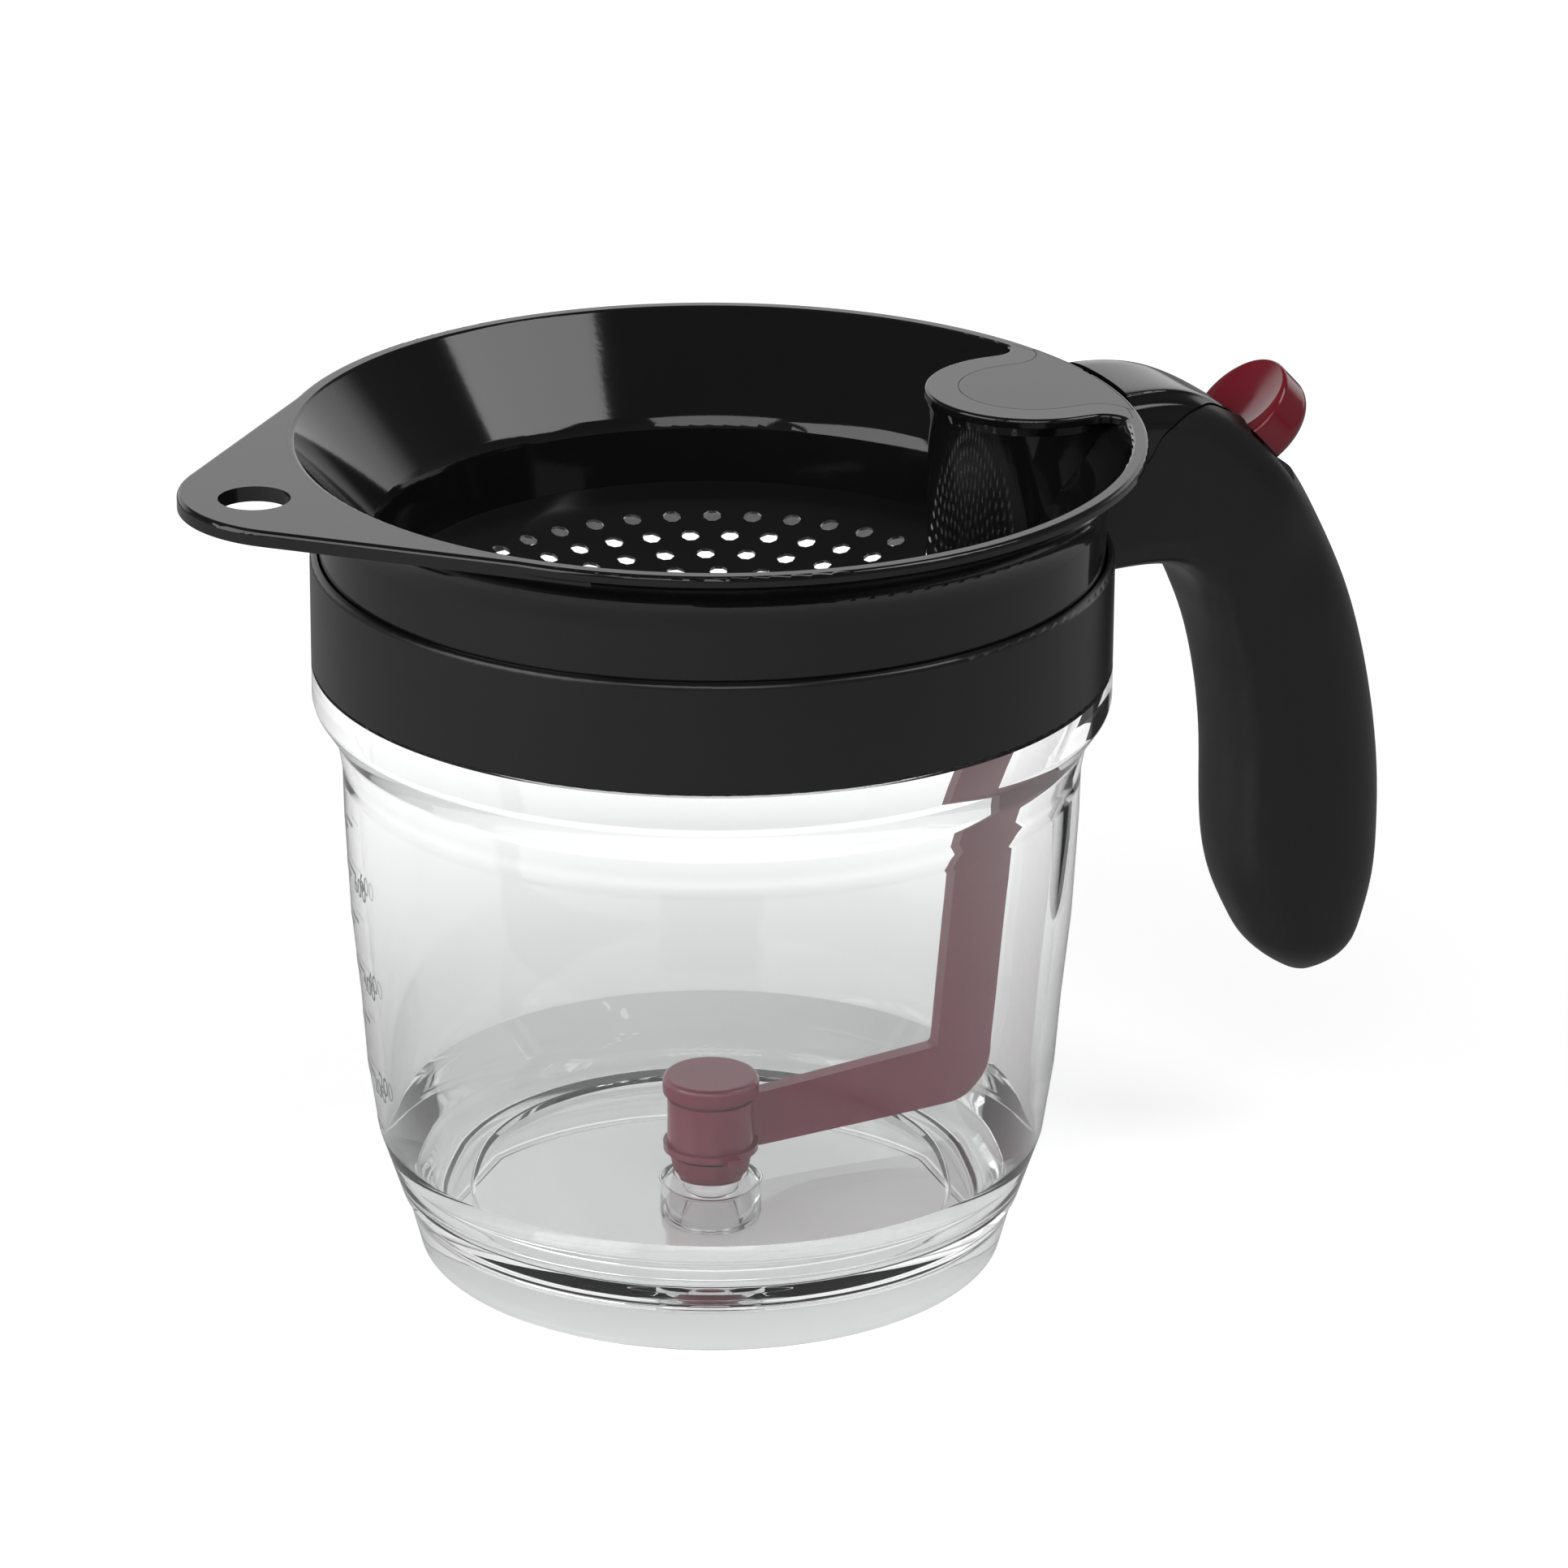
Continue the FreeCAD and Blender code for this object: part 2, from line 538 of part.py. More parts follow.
def make_lid_body():
    """Rim, skirt, funnel cone, well and the hollow tower over the lift mechanism."""
    low, radius = lid_outer_cone()
    ledge_in = WELL_BOTTOM_R - LEDGE_W
    ledge_z = plate_under(ledge_in) - PLATE_GAP
    ledge_out_z = plate_under(WELL_BOTTOM_R) - PLATE_GAP
    bottom = ledge_z - LEDGE_T
    skirt_join = low[1] + (SKIRT_IN_R - low[0]) / (cone_offset().x / cone_offset().z)
    bowl = ring([
        (RIM_IN_R, TOP_Z, RIM_ROUND), (WELL_TOP_R, WELL_TOP_Z, SHOULDER_ROUND), (WELL_BOTTOM_R, PLATE_EDGE_Z),
        (WELL_BOTTOM_R, ledge_out_z), (ledge_in, ledge_z), (ledge_in, bottom),
        (WELL_BOTTOM_R + LID_WALL, bottom, 1.0), low, (RIM_IN_R + 0.6, RIM_BOTTOM - 0.3),
        (RIM_R - RIM_CHAMFER, RIM_BOTTOM), (RIM_R, RIM_BOTTOM + RIM_CHAMFER), (RIM_R, TOP_Z, RIM_ROUND)])
    skirt = ring([
        (SKIRT_IN_R, SKIRT_BOTTOM), (SKIRT_R, SKIRT_BOTTOM), (SKIRT_R, FLARE_Z, 8.0),
        (FLARE_R, RIM_BOTTOM + 0.2), (RIM_IN_R - 1.0, RIM_BOTTOM + 0.2), (SKIRT_IN_R, skirt_join + 0.2)])
    tower_floor = plate_under(TOWER_X - TOWER_R) - LEDGE_T
    rise = cone_offset().x / cone_offset().z
    hollow_space = ring([
        (0, tower_floor - 5), (SKIRT_IN_R, tower_floor - 5), (SKIRT_IN_R, FLARE_Z),
        (WELL_TOP_R + (FLARE_Z - WELL_TOP_Z) * rise, FLARE_Z), (RIM_IN_R, TOP_Z), (0, TOP_Z)])
    hollow = rod_z(TOWER_IN_R, tower_floor - 5, HOOD_BOTTOM, TOWER_X).common(hollow_space)
    shape = bowl.fuse(make_tower(tower_floor)).cut(hollow)
    shape = shape.fuse(skirt)
    shape = shape.cut(hood_outline(HOOD_GAP, HOOD_BOTTOM, TOP_Z + 5))
    shape = shape.cut(inlay_outline(INLAY_GAP, TOP_Z - INLAY_T - INLAY_GAP, TOP_Z + 5))
    gate = box(COLLAR_R - 12, COLLAR_R + 10, -GATE_W / 2, GATE_W / 2, SKIRT_BOTTOM - 5, TOP_Z - GATE_TOP_DROP)
    return shape.cut(gate)


def tower_column():
    """Upright column that holds the tower with its share of rim and skirt, as one welded-in piece."""
    step_z = HOOD_BOTTOM - TOWER_FLARE
    return rod_z(TOWER_R, 0, step_z, TOWER_X).fuse(rod_z(TOWER_R + HOOD_LIP, step_z, TOP_Z + 5, TOWER_X))


def make_tower(floor_z):
    """Solid turret, widened a little under the hood and trimmed to the lid's wall."""
    tower = rod_z(TOWER_R, floor_z, HOOD_BOTTOM, TOWER_X)
    flare = Part.makeCone(TOWER_R, TOWER_R + HOOD_LIP, TOWER_FLARE, V(TOWER_X, 0, HOOD_BOTTOM - TOWER_FLARE))
    return tower.fuse(flare).common(well_inside(HOOD_BOTTOM))


def make_tab():
    """Lifting tab: a plate between the rim circle and a smaller circle, with a hanging hole."""
    tip_x = -(TAB_REACH - TAB_TIP_R)
    root_r = RIM_R - TAB_SINK
    lean = math.asin((root_r - TAB_TIP_R) / -tip_x)
    c, s = math.cos(lean), math.sin(lean)
    root_x, root_y = -root_r * s + 5 * c, root_r * c + 5 * s
    points = [
        V(root_x, root_y, 0), V(tip_x - TAB_TIP_R * s, TAB_TIP_R * c, 0),
        V(tip_x - TAB_TIP_R, 0, 0), V(tip_x - TAB_TIP_R * s, -TAB_TIP_R * c, 0), V(root_x, -root_y, 0)]
    edges = [
        Part.LineSegment(points[0], points[1]).toShape(),
        Part.Arc(points[1], points[2], points[3]).toShape(),
        Part.LineSegment(points[3], points[4]).toShape(),
        Part.LineSegment(points[4], points[0]).toShape()]
    tab = Part.Face(Part.Wire(edges)).extrude(V(0, 0, TAB_T))
    top_edges = [e for e in tab.Edges if e.BoundBox.ZMin > TAB_T - 0.01 and e.BoundBox.XMin < -RIM_R]
    tab = tab.makeFillet(RIM_ROUND, top_edges)
    tab.translate(V(0, 0, TOP_Z - TAB_T))
    tab = tab.cut(rod_z(RIM_IN_R + TAB_SEAT, 0, TOP_Z + 5))
    return tab.cut(rod_z(HANG_R, 0, TOP_Z + 5, -HANG_REACH))


def hole_tool(ring_r, angle):
    """Tapered prism square to the dished plate; few sides, because the hole repeats so often."""
    tilt = math.degrees(math.asin(ring_r / PLATE_SPHERE_R))
    wires = []
    for side in (-1, 2):
        reach = PLATE_SPHERE_R + side * PLATE_T
        radius = HOLE_R + side * HOLE_FLARE
        corners = []
        for k in range(HOLE_SIDES + 1):
            turn = 2 * math.pi * (k + 0.5) / HOLE_SIDES
            corners.append(V(radius * math.cos(turn), radius * math.sin(turn), -reach))
        wires.append(Part.makePolygon(corners))
    tool = Part.makeLoft(wires, True, True)
    tool.rotate(V(0, 0, 0), V(0, 1, 0), -tilt)
    tool.rotate(V(0, 0, 0), V(0, 0, 1), math.degrees(angle))
    tool.translate(V(0, 0, SPHERE_Z))
    return tool


def make_plate():
    """Dished perforated plate that drops into the well, notched round the tower."""
    inner = Part.makeSphere(PLATE_SPHERE_R, V(0, 0, SPHERE_Z))
    outer = Part.makeSphere(PLATE_SPHERE_R + PLATE_T, V(0, 0, SPHERE_Z))
    disc = rod_z(WELL_BOTTOM_R - PLATE_GAP, PLATE_EDGE_Z - 20, PLATE_EDGE_Z)
    disc = disc.common(outer).cut(inner)
    disc = disc.cut(rod_z(TOWER_R + PLATE_GAP, 0, TOP_Z, TOWER_X))
    tools = [hole_tool(0, 0)]
    for k, count in enumerate(RING_HOLES):
        ring_r = OUTER_RING_R - k * RING_PITCH
        for j in range(count):
            angle = math.radians(RING_TURN[k] + j * 360.0 / count)
            x, y = ring_r * math.cos(angle), ring_r * math.sin(angle)
            if math.hypot(x - TOWER_X, y) > TOWER_R + HOLE_R + 1.2:
                tools.append(hole_tool(ring_r, angle))
    return disc.cut(Part.makeCompound(tools))


def tongue(half, corner_r, root_r, edge_r, grow, z0, z1):
    """Round-nosed tongue over the tower; its concave corners run out at root_r and it ends at edge_r."""
    corner_y = half + corner_r
    corner_x = math.sqrt((root_r - corner_r) ** 2 - corner_y ** 2)
    shape = rod_z(half + grow, z0, z1, TOWER_X).fuse(box(TOWER_X, RIM_R, -half - grow, half + grow, z0, z1))
    webs = box(corner_x, RIM_R, -corner_y, corner_y, z0, z1)
    for side in (-1, 1):
        webs = webs.cut(rod_z(corner_r - grow, z0, z1, corner_x, side * corner_y))
    return shape.fuse(webs).common(rod_z(edge_r + grow, z0, z1)).removeSplitter()


def hood_outline(grow, z0, z1):
    return tongue(TOWER_R + HOOD_LIP, HOOD_CORNER_R, RIM_IN_R, RIM_IN_R + HOOD_EDGE, grow, z0, z1)


def inlay_outline(grow, z0, z1):
    end = RIM_R - INLAY_EDGE
    return tongue(INLAY_W / 2, INLAY_CORNER_R, end, end, grow, z0, z1)


def make_hood():
    """Cap of the tower, rounded along its free edge, with a shallow seat for the inlay."""
    hood = hood_outline(0, HOOD_BOTTOM + HOOD_GAP, TOP_Z)
    root_y = TOWER_R + HOOD_LIP + HOOD_CORNER_R
    free = []
    for edge in hood.Edges:
        middle = edge.valueAt((edge.FirstParameter + edge.LastParameter) / 2)
        away_from_rim = math.hypot(middle.x, middle.y) < RIM_IN_R - 0.5 and abs(middle.y) < root_y - 0.1
        if edge.BoundBox.ZMin > TOP_Z - 0.01 and away_from_rim:
            free.append(edge)
    hood = hood.makeFillet(HOOD_ROUND, free)
    return hood.cut(inlay_outline(INLAY_GAP, TOP_Z - INLAY_T - INLAY_GAP, TOP_Z + 1))


def make_inlay():
    return inlay_outline(0, TOP_Z - INLAY_T, TOP_Z)


# ------------------------------------------------------------------ trigger
def make_trigger():
    """One red lever: thumb paddle, hub on the pivot pin, beam and forked jaws."""
    hub_end = HUB_W / 2 - SPRING_ROOM
    hub = rod_y(HUB_R, HUB_W / 2 + hub_end, PIVOT_X, PIVOT_Z, (hub_end - HUB_W / 2) / 2)
    half = CROSS_R + CROSS_GAP
    jaw_top = CROSS_Z + half + JAW_T
    jaw_low = CROSS_Z - half - JAW_T
    fork_x = CROSS_X + half + 0.4
    jaw_end = CROSS_X - 3.4
    beam_low = CROSS_Z - BEAM_H / 2
    beam = plate([
        (jaw_end, jaw_top, 1.0), (jaw_end, CROSS_Z + half, 0.6), (fork_x, CROSS_Z + half, 1.0),
        (fork_x, CROSS_Z - half, 1.0), (jaw_end, CROSS_Z - half, 0.6), (jaw_end, jaw_low, 1.0),
        (fork_x + 2.2, jaw_low, 1.5), (fork_x + 5.0, beam_low, 2.0), (PIVOT_X - 4, beam_low, 3.0),
        (PIVOT_X, PIVOT_Z - 3.4), (PIVOT_X, jaw_top)], BEAM_W)
    blade_slot = box(
        jaw_end - 5, ARM_OUT_X + 3.4, -ARM_T / 2 - FORK_GAP, ARM_T / 2 + FORK_GAP, CROSS_Z - 20, CROSS_Z + 20)
    beam = beam.cut(blade_slot)
    foot_back = on_paddle(-PADDLE_FOOT + 0.6, PADDLE_T - 1.2)
    foot_front = on_paddle(-PADDLE_FOOT + 0.6, 1.2)
    behind = on_paddle(0.0, PADDLE_T / 2)
    stem = plate([
        (PIVOT_X, PIVOT_Z - 4.0), (foot_back.x - 5.0, PIVOT_Z - 3.6, 3.0), (foot_back.x, foot_back.z),
        (behind.x, behind.z), (foot_front.x, foot_front.z), (foot_front.x - 4.0, PIVOT_Z + 2.9, 3.0),
        (PIVOT_X, PIVOT_Z + 2.9)], STEM_W)
    shape = hub.fuse([beam, stem, make_paddle()])
    groove = rod_y(SPRING_COIL_R + SPRING_WIRE_R + 0.4, 20, PIVOT_X, PIVOT_Z, hub_end + 10)
    shape = shape.cut(groove)
    return shape.cut(rod_y(PIVOT_R + PIVOT_PLAY, 40, PIVOT_X, PIVOT_Z))


def make_paddle():
    """Half-round thumb paddle with a dished face that looks back towards the lid."""
    pad = rod_z(PADDLE_R, -PADDLE_T, 0).common(box(-PADDLE_FOOT, PADDLE_R, -PADDLE_R, PADDLE_R, -PADDLE_T, 0))
    for z, radius in ((0, PADDLE_FACE_ROUND), (-PADDLE_T, PADDLE_BACK_ROUND)):
        arc = [e for e in pad.Edges if abs(e.BoundBox.Center.z - z) < 0.01 and e.BoundBox.XLength > 1.0]
        pad = pad.makeFillet(radius, arc)
    pad = pad.cut(Part.makeSphere(PADDLE_DISH_R, V(PADDLE_FOOT, 0, PADDLE_DISH_R - PADDLE_DISH)))
    pad.rotate(V(0, 0, 0), V(0, 1, 0), -PADDLE_LEAN)
    pad.translate(on_paddle(0, 0))
    return pad


def make_trigger_pin():
    pin = rod_y(PIVOT_R, PIN_LENGTH, PIVOT_X, PIVOT_Z)
    return pin.makeChamfer(0.3, [e for e in pin.Edges if isinstance(e.Curve, Part.Circle)])


def spring_section(centre, normal):
    """Six-sided section of the spring's wire."""
    side = V(1, 0, 0)
    up = normal.cross(side)
    corners = []
    for k in range(7):
        turn = math.pi * k / 3
        across, along = SPRING_WIRE_R * math.cos(turn), SPRING_WIRE_R * math.sin(turn)
        corners.append(centre + side * across + up * along)
    return Part.Wire(Part.makePolygon(corners))


def make_trigger_spring():
    """Torsion spring round the pivot: one leg on top of the beam, one on the neck's floor."""
    turn = SPRING_TURNS * 360 + 90 + SPRING_TOP_LEAN - (-90 + SPRING_FLOOR_LEAN)
    height = SPRING_PITCH * turn / 360
    slope = V(0, 2 * math.pi * SPRING_COIL_R, SPRING_PITCH).normalize()
    start = V(SPRING_COIL_R, 0, 0)
    profile = spring_section(start, slope)
    helix = Part.makeHelix(SPRING_PITCH, height, SPRING_COIL_R)
    coil = Part.Wire(helix.Edges).makePipeShell([profile], True, True)
    floor_leg = Part.Face(profile).extrude(slope * -SPRING_FLOOR_LEG)
    top_leg = Part.Face(profile).extrude(slope * SPRING_TOP_LEG)
    top_leg.rotate(V(0, 0, 0), V(0, 0, 1), turn)
    top_leg.translate(V(0, 0, height))
    spring = coil.fuse([floor_leg, top_leg])
    spring.rotate(V(0, 0, 0), V(0, 0, 1), -90 + SPRING_FLOOR_LEAN)
    spring.rotate(V(0, 0, 0), V(1, 0, 0), 90)
    spring.translate(V(PIVOT_X, SPRING_Y, PIVOT_Z))
    return spring


# ------------------------------------------------------------------ lift
def make_lift_arm():
    """Flat L-shaped plate from the cross pin in the tower down to the plug."""
    low_x = FOOT_R + WALL + 2.8 - ARM_WALL_GAP
    mid_x = WAIST_R - WALL + 2.0 - ARM_WALL_GAP
    bottom = PLUG_BOTTOM - 0.8
    leg_w = 10.9
    top = CROSS_Z + CROSS_R + 2.6
    arm = plate([
        (PLUG_STEM_R + 0.2, bottom), (PLUG_R + 2, bottom), (low_x, bottom + ARM_RISE, 9.0),
        (low_x + 0.2, WAIST_Z - 14, 30.0), (mid_x, WAIST_Z + 23, 60.0), (ARM_OUT_X, COLLAR_BOTTOM - 7, 60.0),
        (ARM_OUT_X, top, 2.5), (ARM_IN_X, top, 2.5), (ARM_IN_X, COLLAR_BOTTOM - 4, 60.0),
        (mid_x - leg_w - 0.6, WAIST_Z + 23, 60.0), (low_x - leg_w, bottom + ARM_H + ARM_RISE + 1.0, 1.0),
        (PLUG_R + 2, bottom + ARM_H), (PLUG_STEM_R + 0.2, bottom + ARM_H)], ARM_T)
    return arm.cut(rod_y(CROSS_R + PIN_FIT, 20, CROSS_X, CROSS_Z))


def make_cross_pin():
    pin = rod_y(CROSS_R, CROSS_LENGTH, CROSS_X, CROSS_Z)
    return pin.makeChamfer(0.4, [e for e in pin.Edges if isinstance(e.Curve, Part.Circle)])


def make_arm_guide():
    """Small bracket under the collar's flange; the arm slides up and down in its slot."""
    z1 = NECK_TOP - 4.5
    z0 = z1 - GUIDE_T
    slot_y = ARM_T / 2 + GUIDE_GAP
    outer_y = slot_y + GUIDE_WALL + 0.6
    slot_in = ARM_IN_X - GUIDE_GAP
    slot_out = ARM_OUT_X + GUIDE_GAP
    back = NECK_IN_R - 0.4
    guide = box(slot_in - GUIDE_WALL, back, -outer_y, outer_y, z0, z1)
    hanger = box(slot_out, back, -outer_y, outer_y, z0, NECK_TOP + BOND_GAP - SKIN_GAP)
    guide = guide.fuse(hanger)
    return guide.cut(box(slot_in, slot_out, -slot_y, slot_y, z0 - 1, TOP_Z))


def make_plug_body():
    """Plug on the arm's end: stem, flange with two ears, barrel and grooved top."""
    top = PLUG_BOTTOM + PLUG_HEIGHT
    body = ring([
        (0, FLOOR_Z - 1.4), (PLUG_STEM_R, FLOOR_Z - 1.4), (PLUG_STEM_R, PLUG_BOTTOM),
        (PLUG_R + 0.7, PLUG_BOTTOM), (PLUG_R + 0.7, PLUG_BOTTOM + 1.2), (PLUG_R, PLUG_BOTTOM + 1.2),
        (PLUG_R, top - 1.0),
        (PLUG_R - PLUG_GROOVE, top - 1.0), (PLUG_R - PLUG_GROOVE, top), (PLUG_STEM_R, top),
        (PLUG_STEM_R, top + 1.6), (0, top + 1.6)])
    for side in (-1, 1):
        ear = box(-1.3, 1.3, 0, 3.0, PLUG_BOTTOM, PLUG_BOTTOM + 1.2)
        ear.translate(V(0, PLUG_R - 0.6 if side > 0 else -PLUG_R - 2.4, 0))
        body = body.fuse(ear)
    bottom = PLUG_BOTTOM - 0.8
    half = ARM_T / 2 + 0.05
    return body.cut(box(PLUG_STEM_R + 0.15, PLUG_R + 5, -half, half, bottom - 0.05, bottom + ARM_H + 0.05))


def make_plug_cap():
    """Cap on the plug's stud, with a shallow dish in its top."""
    z0 = PLUG_BOTTOM + PLUG_HEIGHT + 0.05
    return ring([
        (0, z0 + 1.7), (PLUG_STEM_R + 0.05, z0 + 1.7), (PLUG_STEM_R + 0.05, z0), (CAP_R, z0),
        (CAP_R, z0 + CAP_H, 1.0), (0, z0 + CAP_H)])


def make_plug_seal():
    """Soft conical seal on the plug's stem that closes the drain seat."""
    gap = SEAL_GAP
    top = PLUG_BOTTOM - 0.85
    nose_z = FLOOR_Z - SEAT_HEIGHT + gap
    return ring([
        (PLUG_STEM_R + 0.05, top), (PLUG_R - 0.4, top), (SEAT_TOP_R + 0.2, FLOOR_Z + gap + 0.6),
        (SEAT_TOP_R - gap - 0.2, FLOOR_Z), (DRAIN_R - gap, nose_z, 0.8), (0, nose_z),
        (0, FLOOR_Z - 1.45), (PLUG_STEM_R + 0.05, FLOOR_Z - 1.45)])


# ------------------------------------------------------------------ build
WHOLE = handle_body(0)
CORE = handle_body(SKIN)
CORE_CUT = handle_body(SKIN - SKIN_GAP)
SKIN_SHELL = handle_skin(WHOLE, CORE_CUT)
LID_BODY = make_lid_body()
TAB = make_tab()

save(make_vessel(), "vessel")
save(make_collar(), "collar")
save(make_handle_core(CORE), "handle_core")
save(make_grip(SKIN_SHELL), "grip")
save(make_cover(SKIN_SHELL), "head_cover")
save(make_arm_guide(), "arm_guide")
save(LID_BODY.cut(tower_column()).cut(TAB), "strainer_lid")
save(LID_BODY.common(tower_column()), "lid_tower")
save(TAB, "lid_tab")
save(make_plate(), "strainer_plate")
save(make_hood(), "hood")
save(make_inlay(), "hood_inlay")
save(make_trigger(), "trigger")
save(make_trigger_pin(), "trigger_pin")
save(make_trigger_spring(), "trigger_spring")
save(make_lift_arm(), "lift_arm")
save(make_cross_pin(), "cross_pin")
save(make_plug_body(), "plug_body")
save(make_plug_cap(), "plug_cap")
save(make_plug_seal(), "plug_seal")
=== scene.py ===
# %% [markdown]
# # Gravy fat separator
#
# The object is a clear jug with a drain in its floor.  A red plug closes the drain, a flat red arm carries
# the plug, and a thumb trigger on the handle lifts the arm.  A black strainer sits in a black collar.
#
# The rigid pieces are loaded first and stay where they are.  This script gives them their finishes, spins the
# jug anew with a finer wall, adds its moulded scale, and lights the whole in a plain white studio.

# %% Load the rigid pieces
import math
import bmesh
import bpy
from mathutils import Matrix, Vector


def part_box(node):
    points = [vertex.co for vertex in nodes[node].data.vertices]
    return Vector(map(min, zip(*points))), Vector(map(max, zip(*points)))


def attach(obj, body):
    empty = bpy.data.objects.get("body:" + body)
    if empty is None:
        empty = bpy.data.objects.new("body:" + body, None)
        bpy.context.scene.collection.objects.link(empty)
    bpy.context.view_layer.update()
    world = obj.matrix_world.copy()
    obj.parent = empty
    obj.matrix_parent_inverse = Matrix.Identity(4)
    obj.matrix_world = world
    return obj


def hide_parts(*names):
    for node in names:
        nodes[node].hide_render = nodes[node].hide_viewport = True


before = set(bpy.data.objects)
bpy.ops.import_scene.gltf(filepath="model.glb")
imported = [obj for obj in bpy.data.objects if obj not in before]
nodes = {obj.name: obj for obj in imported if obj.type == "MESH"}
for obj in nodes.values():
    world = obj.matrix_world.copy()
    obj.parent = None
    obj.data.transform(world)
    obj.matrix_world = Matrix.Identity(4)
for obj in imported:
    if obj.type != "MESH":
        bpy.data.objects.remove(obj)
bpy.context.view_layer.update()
scene = bpy.context.scene

# %% [markdown]
# The table goes just under the jug's foot, so the foot's height is read from the piece and never typed in.

# %% Measure the foot
foot_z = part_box("vessel")[0].z
print("foot height:", round(foot_z, 4))

# %% [markdown]
# ## Node helpers
#
# Every finish is a node tree.  A few small helpers keep the trees short: one makes an empty material with its
# surface shader, one adds a node, four join textures to the shader, and the last two look at the kind of ray
# and choose between two shaders.

# %% Material helpers
WHITE = (1.0, 1.0, 1.0, 1.0)


def new_material(name):
    """A material with a fresh node tree, its Principled shader and its output."""
    material = bpy.data.materials.new(name)
    material.use_nodes = True
    tree = material.node_tree
    tree.nodes.clear()
    output = tree.nodes.new("ShaderNodeOutputMaterial")
    shader = tree.nodes.new("ShaderNodeBsdfPrincipled")
    tree.links.new(shader.outputs["BSDF"], output.inputs["Surface"])
    return material, tree, shader, output


def add(tree, kind, **settings):
    """A node with its sockets and properties set by name."""
    node = tree.nodes.new(kind)
    for key, value in settings.items():
        if key in node.inputs:
            node.inputs[key].default_value = value
        else:
            setattr(node, key, value)
    return node


def noise(tree, scale, detail=3.0, roughness=0.5):
    """Noise in object space, so that its grain keeps its real size on every piece."""
    coordinates = add(tree, "ShaderNodeTexCoord")
    texture = add(tree, "ShaderNodeTexNoise", Scale=scale, Detail=detail, Roughness=roughness)
    tree.links.new(coordinates.outputs["Object"], texture.inputs["Vector"])
    return texture


def spread(tree, source, low, high, start=0.3, end=0.7, smooth=False):
    """Maps a value's range from start to end onto the range from low to high."""
    mapped = add(tree, "ShaderNodeMapRange")
    mapped.interpolation_type = "SMOOTHSTEP" if smooth else "LINEAR"
    mapped.inputs["From Min"].default_value = start
    mapped.inputs["From Max"].default_value = end
    mapped.inputs["To Min"].default_value = low
    mapped.inputs["To Max"].default_value = high
    tree.links.new(source, mapped.inputs["Value"])
    return mapped.outputs["Result"]


def roughen(tree, shader, height, distance, strength=1.0):
    """Feeds a height into the shader's normal as a bump of a real depth in metres."""
    bump = add(tree, "ShaderNodeBump", Strength=strength, Distance=distance)
    tree.links.new(height, bump.inputs["Height"])
    tree.links.new(bump.outputs["Normal"], shader.inputs["Normal"])


def tint(tree, shader, factor, dark, light):
    """Varies the base colour between two close shades."""
    mix = add(tree, "ShaderNodeMix", data_type="RGBA")
    mix.inputs["A"].default_value = (*dark, 1.0)
    mix.inputs["B"].default_value = (*light, 1.0)
    tree.links.new(factor, mix.inputs["Factor"])
    tree.links.new(mix.outputs["Result"], shader.inputs["Base Color"])


def plain_sight(tree, path):
    """1 for the camera and for light that comes through the jug, and 0 for all other light."""
    seen = add(tree, "ShaderNodeMath", operation="MAXIMUM")
    tree.links.new(path.outputs["Is Camera Ray"], seen.inputs[0])
    tree.links.new(path.outputs["Is Transmission Ray"], seen.inputs[1])
    return seen.outputs["Value"]


def choose_shader(tree, factor, first, second, output):
    """Shows the first shader where the factor is 0 and the second where it is 1."""
    choose = add(tree, "ShaderNodeMixShader")
    tree.links.new(factor, choose.inputs[0])
    tree.links.new(first, choose.inputs[1])
    tree.links.new(second, choose.inputs[2])
    tree.links.new(choose.outputs["Shader"], output.inputs["Surface"])


print("helpers: new_material, add, noise, spread, roughen, tint, plain_sight, choose_shader")

# %% [markdown]
# ## Clear plastic
#
# The jug is moulded in a hard clear plastic with thick walls.  Full transmission with the plastic's real
# index of refraction bends what is behind it.  Plain glass looked too clean here: a moulded jug has a trace
# of haze, so a little of the surface stays diffuse.  Light that only casts shadows goes straight through,
# because a path tracer would otherwise draw the shadow of a solid block.

# %% Clear plastic
CLEAR_INDEX = 1.49
DARKER_SHADE = 0.985
SHADOW_TINT = (0.90, 0.91, 0.91, 1.0)


def clear_plastic(name, haze_low, haze_high, clarity, colour):
    """Clear or frosted plastic: the haze is its roughness, and the clarity its share of transmission."""
    material, tree, shader, output = new_material(name)
    shader.inputs["Transmission Weight"].default_value = clarity
    shader.inputs["IOR"].default_value = CLEAR_INDEX
    cloud = noise(tree, scale=9.0, detail=2.0)
    darker = tuple(DARKER_SHADE * c for c in colour)
    tint(tree, shader, cloud.outputs["Fac"], darker, colour)
    swirl = noise(tree, scale=14.0, detail=2.0)
    haze = spread(tree, swirl.outputs["Fac"], haze_low, haze_high)
    tree.links.new(haze, shader.inputs["Roughness"])
    ripple = noise(tree, scale=26.0, detail=1.0)
    roughen(tree, shader, ripple.outputs["Fac"], distance=0.00010, strength=0.5)
    through = add(tree, "ShaderNodeBsdfTransparent", Color=SHADOW_TINT)
    path = add(tree, "ShaderNodeLightPath")
    shadow = path.outputs["Is Shadow Ray"]
    choose_shader(tree, shadow, shader.outputs["BSDF"], through.outputs["BSDF"], output)
    return material


clear = clear_plastic("clear_plastic", haze_low=0.0, haze_high=0.02, clarity=0.992,
                      colour=(0.94, 0.945, 0.945))
frosted = clear_plastic("frosted_plastic", haze_low=0.35, haze_high=0.45, clarity=0.45,
                        colour=(0.40, 0.41, 0.41))
print("materials:", clear.name, frosted.name)

